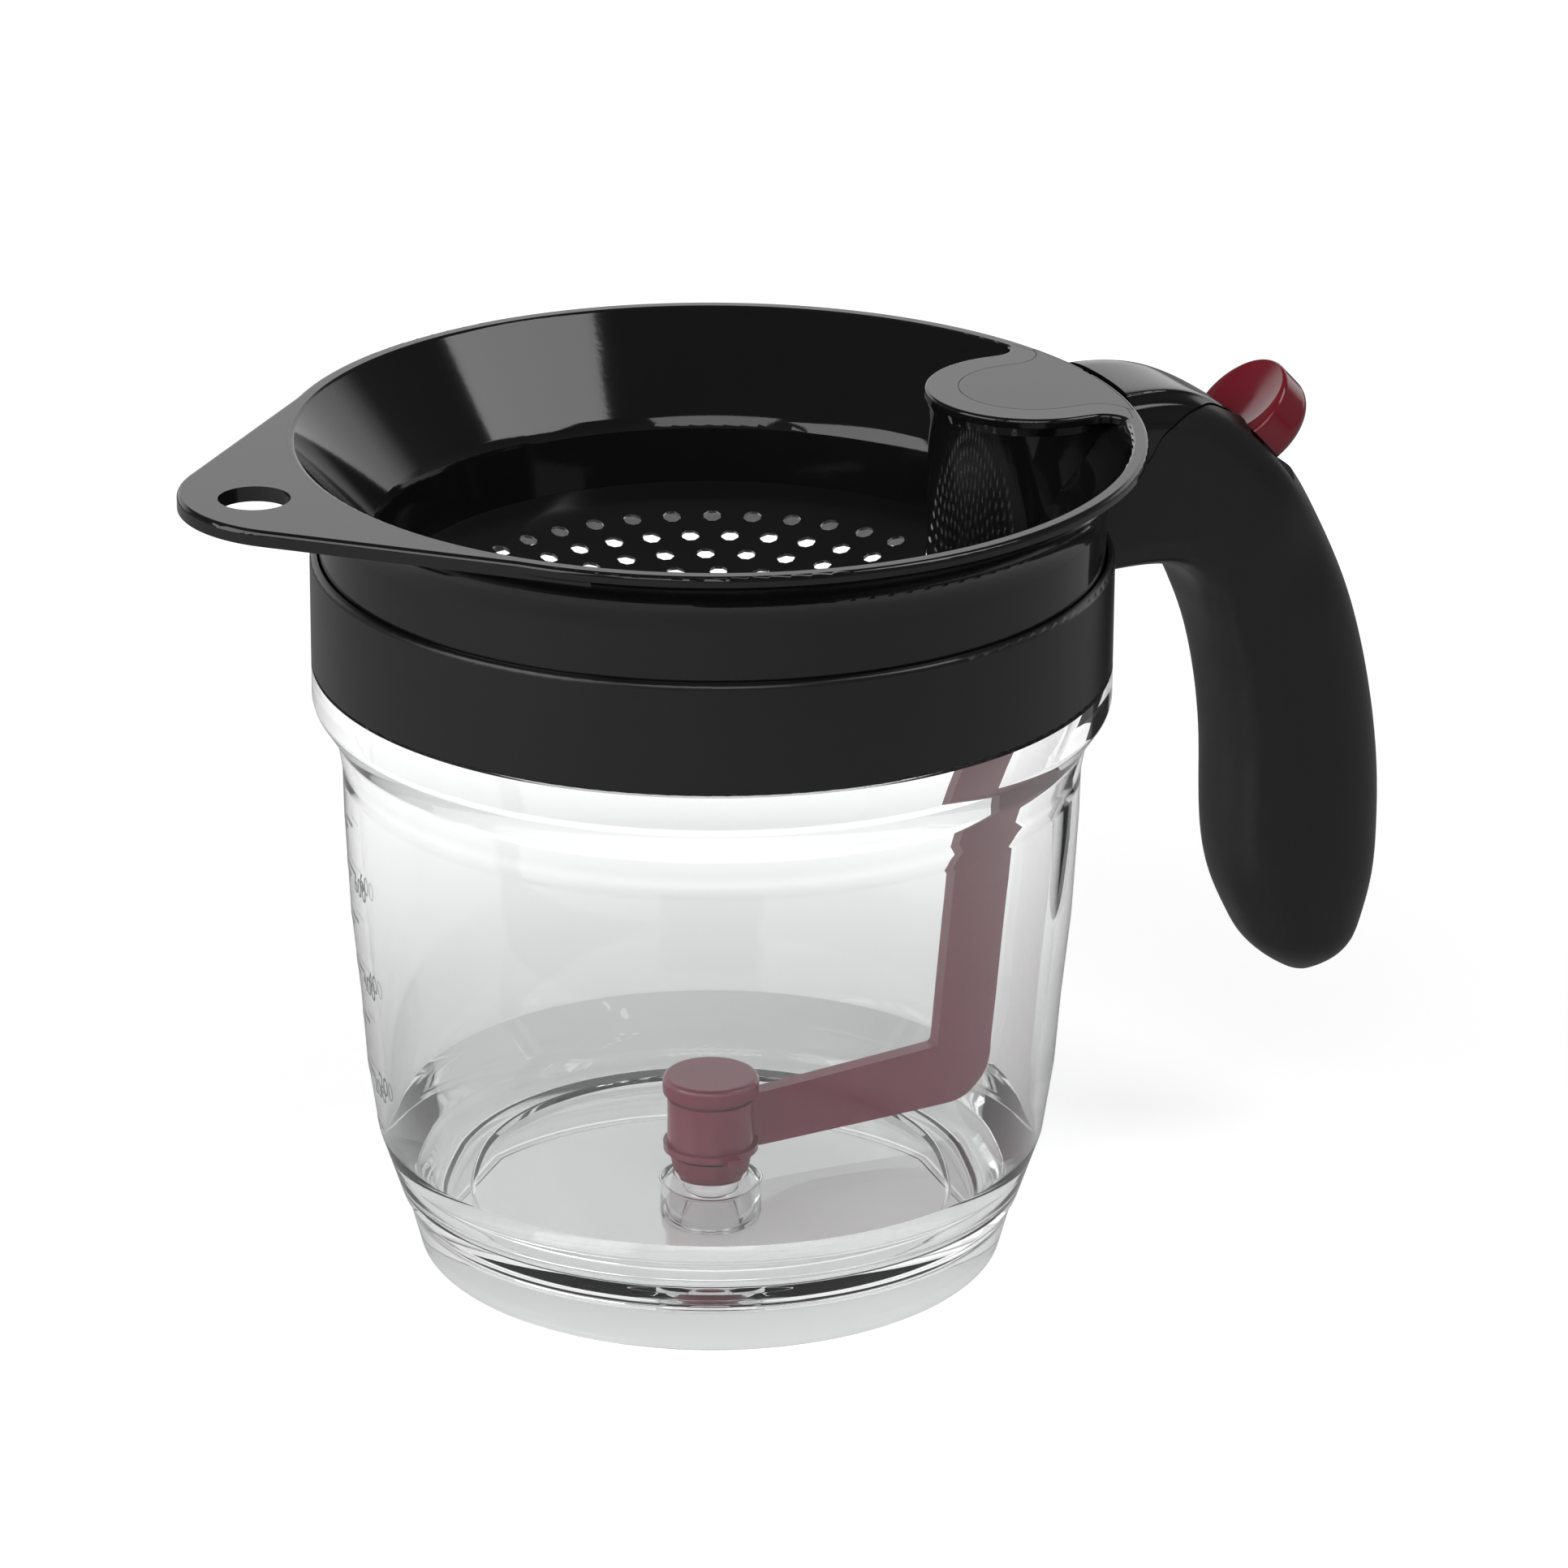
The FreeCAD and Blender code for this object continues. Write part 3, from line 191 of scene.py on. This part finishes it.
# %% [markdown]
# ## Black moulded plastic
#
# The strainer, the collar and the cover of the handle's head are one black plastic.  The strainer is
# polished, and the collar is satin.  The gloss is never perfect: slow waves in the roughness break up long
# reflections, as they do on any moulded wall, and a very fine grain takes the mirror edge off.

# %% Black moulded plastic
PLASTIC_INDEX = 1.5


def black_plastic(name, low_rough, high_rough):
    """Black plastic whose roughness wanders slowly between two values."""
    material, tree, shader, output = new_material(name)
    shader.inputs["IOR"].default_value = PLASTIC_INDEX
    cloud = noise(tree, scale=60.0, detail=4.0)
    tint(tree, shader, cloud.outputs["Fac"], dark=(0.0045, 0.0045, 0.005), light=(0.0075, 0.0075, 0.008))
    wave = noise(tree, scale=22.0, detail=2.0)
    tree.links.new(spread(tree, wave.outputs["Fac"], low_rough, high_rough), shader.inputs["Roughness"])
    grain = noise(tree, scale=900.0, detail=2.0)
    roughen(tree, shader, grain.outputs["Fac"], distance=0.00001, strength=0.35)
    return material


black_polished = black_plastic("black_polished", low_rough=0.05, high_rough=0.09)
black_gloss = black_plastic("black_gloss", low_rough=0.12, high_rough=0.18)
black_satin = black_plastic("black_satin", low_rough=0.27, high_rough=0.35)
print("materials:", black_polished.name, black_gloss.name, black_satin.name)

# %% [markdown]
# ## Soft grip
#
# The grip is covered with a soft rubber.  It has a fine leathery grain and almost no mirror reflection.  The
# grain is a bump of a few hundredths of a millimetre, so it shows close by and melts into a matt black from
# afar.

# %% Soft grip
RUBBER_INDEX = 1.45


def soft_grip():
    """Matt black rubber with a leathery grain."""
    material, tree, shader, output = new_material("soft_grip")
    shader.inputs["IOR"].default_value = RUBBER_INDEX
    cloud = noise(tree, scale=40.0, detail=4.0)
    tint(tree, shader, cloud.outputs["Fac"], dark=(0.007, 0.007, 0.0075), light=(0.0105, 0.0105, 0.011))
    tree.links.new(spread(tree, cloud.outputs["Fac"], low=0.34, high=0.44), shader.inputs["Roughness"])
    grain = noise(tree, scale=1400.0, detail=3.0, roughness=0.6)
    roughen(tree, shader, grain.outputs["Fac"], distance=0.00005, strength=0.5)
    return material


grip_rubber = soft_grip()
print("material:", grip_rubber.name)

# %% [markdown]
# ## Red plastic and red rubber
#
# The trigger, the arm and the plug are moulded in a deep red that lets a little light in.  A small amount of
# scattering under the surface warms the thin edges.  The parts that stand in the gravy are a shade deeper and
# cooler than the trigger.  The plug's seal is the same deep red in a matt rubber.

# %% Red plastic
SCATTER_WEIGHT = 0.12
SCATTER_BY_COLOUR = (1.0, 0.15, 0.1)
SCATTER_DEPTH = 0.0015


def red_plastic(name, dark, light, low_rough, high_rough):
    """Red plastic or rubber between two close shades, with light scattered under its surface."""
    material, tree, shader, output = new_material(name)
    shader.inputs["IOR"].default_value = PLASTIC_INDEX
    shader.inputs["Subsurface Weight"].default_value = SCATTER_WEIGHT
    shader.inputs["Subsurface Radius"].default_value = SCATTER_BY_COLOUR
    shader.inputs["Subsurface Scale"].default_value = SCATTER_DEPTH
    cloud = noise(tree, scale=80.0, detail=3.0)
    tint(tree, shader, cloud.outputs["Fac"], dark, light)
    tree.links.new(spread(tree, cloud.outputs["Fac"], low_rough, high_rough), shader.inputs["Roughness"])
    grain = noise(tree, scale=1000.0, detail=2.0)
    roughen(tree, shader, grain.outputs["Fac"], distance=0.00001, strength=0.3)
    return material


red_gloss = red_plastic("red_plastic", dark=(0.17, 0.010, 0.020), light=(0.21, 0.013, 0.025),
                        low_rough=0.09, high_rough=0.15)
red_deep = red_plastic("red_deep", dark=(0.105, 0.008, 0.022), light=(0.13, 0.010, 0.028),
                       low_rough=0.14, high_rough=0.22)
seal_rubber = red_plastic("seal_rubber", dark=(0.105, 0.008, 0.020), light=(0.13, 0.010, 0.025),
                          low_rough=0.42, high_rough=0.52)
print("materials:", red_gloss.name, red_deep.name, seal_rubber.name)

# %% [markdown]
# ## Steel
#
# The pivot pin, the cross pin and the return spring are plain steel.  Fine noise stands for the marks of
# drawing and grinding.

# %% Steel
def steel():
    """Plain drawn steel."""
    material, tree, shader, output = new_material("steel")
    shader.inputs["Metallic"].default_value = 1.0
    marks = noise(tree, scale=500.0, detail=3.0)
    tint(tree, shader, marks.outputs["Fac"], dark=(0.52, 0.52, 0.54), light=(0.64, 0.64, 0.65))
    tree.links.new(spread(tree, marks.outputs["Fac"], low=0.22, high=0.36), shader.inputs["Roughness"])
    roughen(tree, shader, marks.outputs["Fac"], distance=0.00001, strength=0.4)
    return material


pin_steel = steel()
print("material:", pin_steel.name)

# %% [markdown]
# ## Give every rigid piece its finish
#
# Each piece has one material slot.  The dictionary reads like the parts list.

# %% Assign the finishes
finishes = {
    "vessel": clear,
    "collar": black_satin,
    "handle_core": black_satin,
    "grip": grip_rubber,
    "head_cover": black_gloss,
    "arm_guide": black_satin,
    "strainer_lid": black_polished,
    "lid_tower": black_polished,
    "lid_tab": black_polished,
    "strainer_plate": black_gloss,
    "hood": black_polished,
    "hood_inlay": black_gloss,
    "trigger": red_gloss,
    "trigger_pin": pin_steel,
    "trigger_spring": pin_steel,
    "lift_arm": red_deep,
    "cross_pin": pin_steel,
    "plug_body": red_deep,
    "plug_cap": red_deep,
    "plug_seal": seal_rubber,
}
for name, piece in nodes.items():
    piece.data.materials.clear()
    piece.data.materials.append(finishes[name])
print("finished pieces:", len(finishes))

# %% [markdown]
# ## The jug's wall
#
# Light bends twice in a clear wall, so every flat facet of a coarse mesh shows as a streak.  The jug is a
# turned shape, and the surest way to a fine wall is to spin its profile.  The profile is drawn once, in
# millimetres, as radius, height and how far the corner is rounded.  It goes up the outside, over the neck,
# down the inside and round the outlet tube under the floor.  Two slices name the rows that form the wall's
# outside and inside between the foot and the shoulder.

# %% Profile of the jug
MM = 0.001
jug_profile = [
    (47.4, 0.0, 0), (50.4, 0.0, 1.0), (53.0, 9.8, 0), (53.9, 11.0, 0.4),
    (57.7, 22.4, 0), (59.5, 34.7, 0), (60.4, 47.0, 0), (61.9, 62.0, 0), (62.8, 79.6, 0), (63.0, 88.6, 1.2),
    (64.1, 94.8, 0.8), (68.0, 100.8, 0.8), (68.0, 107.0, 0), (65.2, 107.0, 0), (65.2, 121.0, 0.6),
    (62.8, 121.0, 0.6), (62.8, 101.6, 4.0), (60.5, 88.6, 2.5),
    (60.3, 79.6, 0), (59.4, 62.0, 0), (57.9, 47.0, 0), (57.0, 34.7, 0), (55.2, 22.4, 0), (48.1, 16.0, 2.0),
    (45.4, 12.2, 1.6), (41.0, 12.2, 0.3), (40.3, 11.5, 0), (6.4, 11.5, 0.3), (4.9, 8.1, 0), (4.9, 3.6, 0.3),
    (8.7, 3.6, 0.6), (8.7, 9.0, 0.6), (48.2, 9.0, 1.5), (47.4, 3.2, 0.3)]
OUTSIDE = slice(3, 10)
INSIDE = slice(18, 24)
print("profile corners:", len(jug_profile))

# %% [markdown]
# A vertex bevel rounds the corners of the flat profile, each by its own amount.  Then the face is thrown away
# and its outline is spun a full turn.  A full spin must merge its last ring with its first one.

# %% Spin the jug
JUG_STEPS = 240
MERGE_DISTANCE = 1e-7
SHARP_ANGLE = math.radians(32.0)


def to_mesh(sheet, name):
    """Turns a finished sheet of faces into a mesh."""
    mesh = bpy.data.meshes.new(name)
    sheet.to_mesh(mesh)
    sheet.free()
    return mesh


def spin_jug():
    """The jug's closed wall, spun from its profile."""
    sheet = bmesh.new()
    corners = [sheet.verts.new((radius * MM, 0.0, height * MM)) for radius, height, rounding in jug_profile]
    sheet.faces.new(corners)
    for corner, (radius, height, rounding) in zip(corners, jug_profile):
        if rounding:
            bmesh.ops.bevel(sheet, geom=[corner], offset=rounding * MM, offset_type="OFFSET", segments=6,
                            profile=0.5, affect="VERTICES", material=-1, clamp_overlap=True)
    bmesh.ops.delete(sheet, geom=list(sheet.faces), context="FACES_ONLY")
    outline = list(sheet.verts) + list(sheet.edges)
    bmesh.ops.spin(sheet, geom=outline, cent=(0, 0, 0), axis=(0, 0, 1), angle=math.tau, steps=JUG_STEPS,
                   use_merge=True)
    bmesh.ops.remove_doubles(sheet, verts=list(sheet.verts), dist=MERGE_DISTANCE)
    bmesh.ops.recalc_face_normals(sheet, faces=list(sheet.faces))
    return to_mesh(sheet, "jug_wall")


def add_piece(name, mesh, material, body):
    """An object at the origin that rides on a body and takes its finish from a slot."""
    piece = bpy.data.objects.new(name, mesh)
    scene.collection.objects.link(piece)
    piece.data.materials.append(material)
    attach(piece, body)
    return piece


jug_mesh = spin_jug()
for face in jug_mesh.polygons:
    face.use_smooth = True
jug_mesh.set_sharp_from_angle(angle=SHARP_ANGLE)
jug = add_piece("jug_wall", jug_mesh, clear, "base")
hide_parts("vessel")
print("jug faces:", len(jug_mesh.polygons))

# %% [markdown]
# ## Moulded scale
#
# A jug for gravy carries a scale, so that one can see how much fat floats on top.  Here it is moulded on the
# wall under the lid's tab: a bar for each hundred millilitres and a plain number beside every second bar.
# Their height follows from the volume of the inside, which is added up ring by ring from the profile.

# %% Heights of the scale
STEP_ML = 100
CUBIC_MM_PER_ML = 1000.0


def wall_radius(height, rows):
    """Radius of the jug's outside or inside at a height, both in millimetres."""
    side = sorted((z, r) for r, z, rounding in jug_profile[rows])
    for (z0, r0), (z1, r1) in zip(side, side[1:]):
        if z0 <= height <= z1:
            return r0 + (r1 - r0) * (height - z0) / (z1 - z0)
    return side[0][1] if height < side[0][0] else side[-1][1]


def scale_heights(floor=11.5, top=88.0, ring=0.1):
    """Heights at which the filling passes each whole step, added up in thin rings."""
    heights, volume, height = [], 0.0, floor
    while height < top:
        volume += math.pi * wall_radius(height, INSIDE) ** 2 * ring / CUBIC_MM_PER_ML
        height += ring
        if volume >= STEP_ML * (len(heights) + 1):
            heights.append(height)
    return heights


marks = scale_heights()
print("scale marks at:", [round(height, 1) for height in marks], "mm")

# %% [markdown]
# A bar is a thin rectangle that stands on the wall, spun through a few degrees round the jug's axis, so it
# follows the wall exactly.  It stands a little proud of the wall and is sunk a little into it, and so are the
# numbers.  Every second bar is long.

# %% Bars of the scale
BAR_ANGLE = math.radians(166.0)
BAR_HALF = 0.35
BAR_STEPS = 8
LONG_SWEEP = math.radians(8.0)
SHORT_SWEEP = math.radians(5.0)
PROUD = 0.05
SUNK = 0.02


def scale_bars(heights):
    """One bar at each height."""
    sheet = bmesh.new()
    for number, height in enumerate(heights, start=1):
        low, high = height - BAR_HALF, height + BAR_HALF
        corners = []
        for z, out in ((low, -SUNK), (high, -SUNK), (high, PROUD), (low, PROUD)):
            corners.append(sheet.verts.new(((wall_radius(z, OUTSIDE) + out) * MM, 0.0, z * MM)))
        face = sheet.faces.new(corners)
        sweep = LONG_SWEEP if number % 2 == 0 else SHORT_SWEEP
        start = Matrix.Rotation(BAR_ANGLE - sweep, 4, "Z")
        bmesh.ops.transform(sheet, matrix=start, verts=corners)
        geometry = [face] + list(face.edges) + corners
        bmesh.ops.spin(sheet, geom=geometry, cent=(0, 0, 0), axis=(0, 0, 1), angle=sweep, steps=BAR_STEPS)
    bmesh.ops.recalc_face_normals(sheet, faces=list(sheet.faces))
    return to_mesh(sheet, "scale_bars")


bars = add_piece("scale_bars", scale_bars(marks), frosted, "base")
print("bars:", len(marks), "faces:", len(bars.data.polygons))

# %% [markdown]
# Each number starts as a flat text with a little thickness.  It is turned into a mesh first, and then its
# width is laid round the wall: a step to the right in the text becomes a turn round the axis.

# %% Numbers of the scale
NUMBER_ANGLE = math.radians(169.0)
NUMBER_SIZE = 5.0


def number_mesh(words):
    """A flat, thick text in millimetres, as a mesh."""
    text = bpy.data.curves.new("number", "FONT")
    text.body = words
    text.size = NUMBER_SIZE
    text.extrude = (PROUD + SUNK) / 2
    text.align_y = "CENTER"
    text.resolution_u = 3
    holder = bpy.data.objects.new("number", text)
    scene.collection.objects.link(holder)
    flat = bpy.data.meshes.new_from_object(holder.evaluated_get(bpy.context.evaluated_depsgraph_get()))
    bpy.data.objects.remove(holder)
    bpy.data.curves.remove(text)
    return flat


def scale_numbers(heights):
    """The number of millilitres beside every second bar, laid round the wall."""
    sheet = bmesh.new()
    for number, height in enumerate(heights, start=1):
        if number % 2 == 0:
            before = len(sheet.verts)
            flat = number_mesh(str(number * STEP_ML))
            sheet.from_mesh(flat)
            bpy.data.meshes.remove(flat)
            sheet.verts.ensure_lookup_table()
            for vert in sheet.verts[before:]:
                z = height + vert.co.y
                radius = wall_radius(z, OUTSIDE) + vert.co.z + (PROUD - SUNK) / 2
                turn = NUMBER_ANGLE + vert.co.x / wall_radius(height, OUTSIDE)
                vert.co = Vector((radius * math.cos(turn), radius * math.sin(turn), z)) * MM
    bmesh.ops.remove_doubles(sheet, verts=list(sheet.verts), dist=MERGE_DISTANCE)
    bmesh.ops.recalc_face_normals(sheet, faces=list(sheet.faces))
    return to_mesh(sheet, "scale_numbers")


numbers = add_piece("scale_numbers", scale_numbers(marks), frosted, "base")
print("number faces:", len(numbers.data.polygons))

# %% [markdown]
# ## Studio
#
# The object stands on a white table in front of a lit white wall, in an otherwise dim room.  The wall gives
# the pale reflections on flat black tops, and the dim ceiling keeps the black bowl black.  The camera and the
# light that passes through the jug see plain white all round, through Light Path, so that no extra light on
# the object is needed to clip the background.  AWAY is the level direction towards the wall.

# %% White wall and dim room
AWAY = (0.4305, 0.9026, 0.0)
WALL_STRENGTH = 0.90


def studio_world():
    """Plain white for the camera, and a bright wall in a dim room for everything else."""
    world = bpy.data.worlds.new("studio")
    scene.world = world
    world.use_nodes = True
    tree = world.node_tree
    tree.nodes.clear()
    output = add(tree, "ShaderNodeOutputWorld")
    direction = add(tree, "ShaderNodeTexCoord")
    towards = add(tree, "ShaderNodeVectorMath", operation="DOT_PRODUCT")
    towards.inputs[1].default_value = AWAY
    tree.links.new(direction.outputs["Generated"], towards.inputs[0])
    split = add(tree, "ShaderNodeSeparateXYZ")
    tree.links.new(direction.outputs["Generated"], split.inputs["Vector"])
    wall = add(tree, "ShaderNodeMath", operation="MULTIPLY")
    across = spread(tree, towards.outputs["Value"], low=0.0, high=1.0, start=0.50, end=0.72, smooth=True)
    upwards = spread(tree, split.outputs["Z"], low=1.0, high=0.0, start=0.38, end=0.48, smooth=True)
    dim = spread(tree, split.outputs["Z"], low=0.20, high=0.08, start=0.0, end=0.7, smooth=True)
    tree.links.new(across, wall.inputs[0])
    tree.links.new(upwards, wall.inputs[1])
    strength = add(tree, "ShaderNodeMath", operation="MULTIPLY_ADD")
    strength.inputs[1].default_value = WALL_STRENGTH
    tree.links.new(wall.outputs["Value"], strength.inputs[0])
    tree.links.new(dim, strength.inputs[2])
    room = add(tree, "ShaderNodeBackground", Color=WHITE)
    tree.links.new(strength.outputs["Value"], room.inputs["Strength"])
    white = add(tree, "ShaderNodeBackground", Color=WHITE, Strength=1.0)
    seen = plain_sight(tree, add(tree, "ShaderNodeLightPath"))
    choose_shader(tree, seen, room.outputs["Background"], white.outputs["Background"], output)


studio_world()
print("world:", scene.world.name)

# %% [markdown]
# The table is a matt white sheet.  For the camera, and for light that comes through the jug, it also glows a
# little, which lifts it to the white of the wall and still leaves the object's soft shadow on it.  The glow
# grows with the distance from the jug, because the lamps reach the far table less.  Seen through the jug the
# glow is weaker close by.  This is a painted shade round the spot the jug stands on, in place of the shade
# that the jug's own walls would cast there.

# %% Table top
TABLE_HALF = 3.0
TABLE_GAP = 0.0002
TABLE_ROUGHNESS = 0.7
TABLE_SPECULAR = 0.2


def table_white():
    """Matt white that glows for the camera and, with a painted shade near the jug, for light that comes
    through the jug.
    """
    material, tree, shader, output = new_material("table_white")
    cloud = noise(tree, scale=3.0, detail=2.0)
    tint(tree, shader, cloud.outputs["Fac"], dark=(0.49, 0.49, 0.49), light=(0.51, 0.51, 0.51))
    shader.inputs["Roughness"].default_value = TABLE_ROUGHNESS
    shader.inputs["Specular IOR Level"].default_value = TABLE_SPECULAR
    place = add(tree, "ShaderNodeTexCoord")
    reach = add(tree, "ShaderNodeVectorMath", operation="LENGTH")
    tree.links.new(place.outputs["Object"], reach.inputs[0])
    distance = reach.outputs["Value"]
    open_glow = spread(tree, distance, low=0.70, high=1.0, start=0.12, end=0.7, smooth=True)
    # Painted shade: seen through the jug, the glow drops close to the jug, so the table looks darker under
    # it.
    glow_with_painted_shade = spread(tree, distance, low=0.27, high=1.02, start=0.05, end=0.27, smooth=True)
    glow = add(tree, "ShaderNodeEmission", Color=WHITE)
    total = add(tree, "ShaderNodeAddShader")
    tree.links.new(shader.outputs["BSDF"], total.inputs[0])
    tree.links.new(glow.outputs["Emission"], total.inputs[1])
    path = add(tree, "ShaderNodeLightPath")
    by_ray = add(tree, "ShaderNodeMix", data_type="FLOAT")
    tree.links.new(path.outputs["Is Transmission Ray"], by_ray.inputs["Factor"])
    tree.links.new(open_glow, by_ray.inputs["A"])
    tree.links.new(glow_with_painted_shade, by_ray.inputs["B"])
    tree.links.new(by_ray.outputs["Result"], glow.inputs["Strength"])
    seen = plain_sight(tree, path)
    choose_shader(tree, seen, shader.outputs["BSDF"], total.outputs["Shader"], output)
    return material


def table_top(height):
    """A large flat table at a height, which is scenery and no part of the object."""
    sheet = bmesh.new()
    bmesh.ops.create_grid(sheet, x_segments=1, y_segments=1, size=TABLE_HALF)
    bmesh.ops.translate(sheet, verts=list(sheet.verts), vec=(0.0, 0.0, height))
    table = bpy.data.objects.new("table", to_mesh(sheet, "table"))
    scene.collection.objects.link(table)
    table.data.materials.append(table_white())
    return table


table = table_top(foot_z - TABLE_GAP)
print("table:", table.name, "height:", round(foot_z - TABLE_GAP, 4))

# %% [markdown]
# Two soft boxes make the long soft highlights on the strainer's wall, one high on the right and one lower on
# the left.  A wide fill on the camera's side opens the shadows.  Each is an area lamp with its place given by
# a turn, a rise and a distance from the object, and each is aimed at the height of the strainer's rim.

# %% Soft boxes
LAMP_TARGET = Vector((0.0, 0.0, 0.14))


def soft_box(name, turn, rise, distance, width, height, power):
    """An area lamp; the turn goes from the wall behind the object towards the right.  Degrees and watts."""
    data = bpy.data.lights.new(name, "AREA")
    data.shape = "RECTANGLE"
    data.size = width
    data.size_y = height
    data.energy = power
    lamp = bpy.data.objects.new(name, data)
    scene.collection.objects.link(lamp)
    back, right = Vector(AWAY), Vector((AWAY[1], -AWAY[0], 0.0))
    level = back * math.cos(math.radians(turn)) + right * math.sin(math.radians(turn))
    aim = level * math.cos(math.radians(rise)) + Vector((0.0, 0.0, math.sin(math.radians(rise))))
    lamp.location = LAMP_TARGET + aim * distance
    lamp.rotation_euler = (-aim).to_track_quat("-Z", "Y").to_euler()
    return lamp


lamps = [
    soft_box("right_box", turn=98.0, rise=52.0, distance=1.1, width=0.55, height=0.60, power=3.9),
    soft_box("left_box", turn=-120.0, rise=26.0, distance=1.1, width=0.95, height=0.78, power=7.0),
    soft_box("front_fill", turn=180.0, rise=38.0, distance=1.5, width=1.0, height=0.8, power=6.3),
]
print("lamps:", [lamp.name for lamp in lamps])

# %% [markdown]
# ## Camera
#
# The camera has the handle on its right and the lid's tab on its left, and looks down by about twenty-one
# degrees.  Its place is worked out from the angles, the distance and the small offset of the aim, so each can
# be changed by one number.  The lens is a ratio: its focal length over the width of the frame.

# %% Camera
VIEW_AZIMUTH = math.radians(-25.5)
VIEW_ELEVATION = math.radians(21.08)
VIEW_ROLL = math.radians(0.378)
VIEW_DISTANCE = 1.300
AIM_RIGHT = 0.01233
AIM_HEIGHT = 0.08338
LENS_RATIO = 9370.6 / 1932.0
SENSOR_WIDTH = 36.0
CLIP_START = 0.05


def place_camera():
    """The camera, turned a little about its own line of sight."""
    right = Vector((math.cos(VIEW_AZIMUTH), math.sin(VIEW_AZIMUTH), 0.0))
    ahead = Vector((-math.sin(VIEW_AZIMUTH), math.cos(VIEW_AZIMUTH), 0.0))
    forward = ahead * math.cos(VIEW_ELEVATION) - Vector((0, 0, 1)) * math.sin(VIEW_ELEVATION)
    up = right.cross(forward)
    data = bpy.data.cameras.new("camera")
    data.sensor_width = SENSOR_WIDTH
    data.lens = LENS_RATIO * SENSOR_WIDTH
    data.clip_start = CLIP_START
    camera = bpy.data.objects.new("camera", data)
    scene.collection.objects.link(camera)
    aim = right * AIM_RIGHT + Vector((0, 0, AIM_HEIGHT))
    place = aim - forward * VIEW_DISTANCE
    turned_right = right * math.cos(VIEW_ROLL) + up * math.sin(VIEW_ROLL)
    turned_up = up * math.cos(VIEW_ROLL) - right * math.sin(VIEW_ROLL)
    axes = Matrix((turned_right, turned_up, -forward)).transposed()
    camera.matrix_world = Matrix.Translation(place) @ axes.to_4x4()
    scene.camera = camera
    return camera


camera = place_camera()
scene.view_settings.view_transform = "Standard"
print("camera:", [round(v, 3) for v in camera.location], "lens:", round(camera.data.lens, 1))
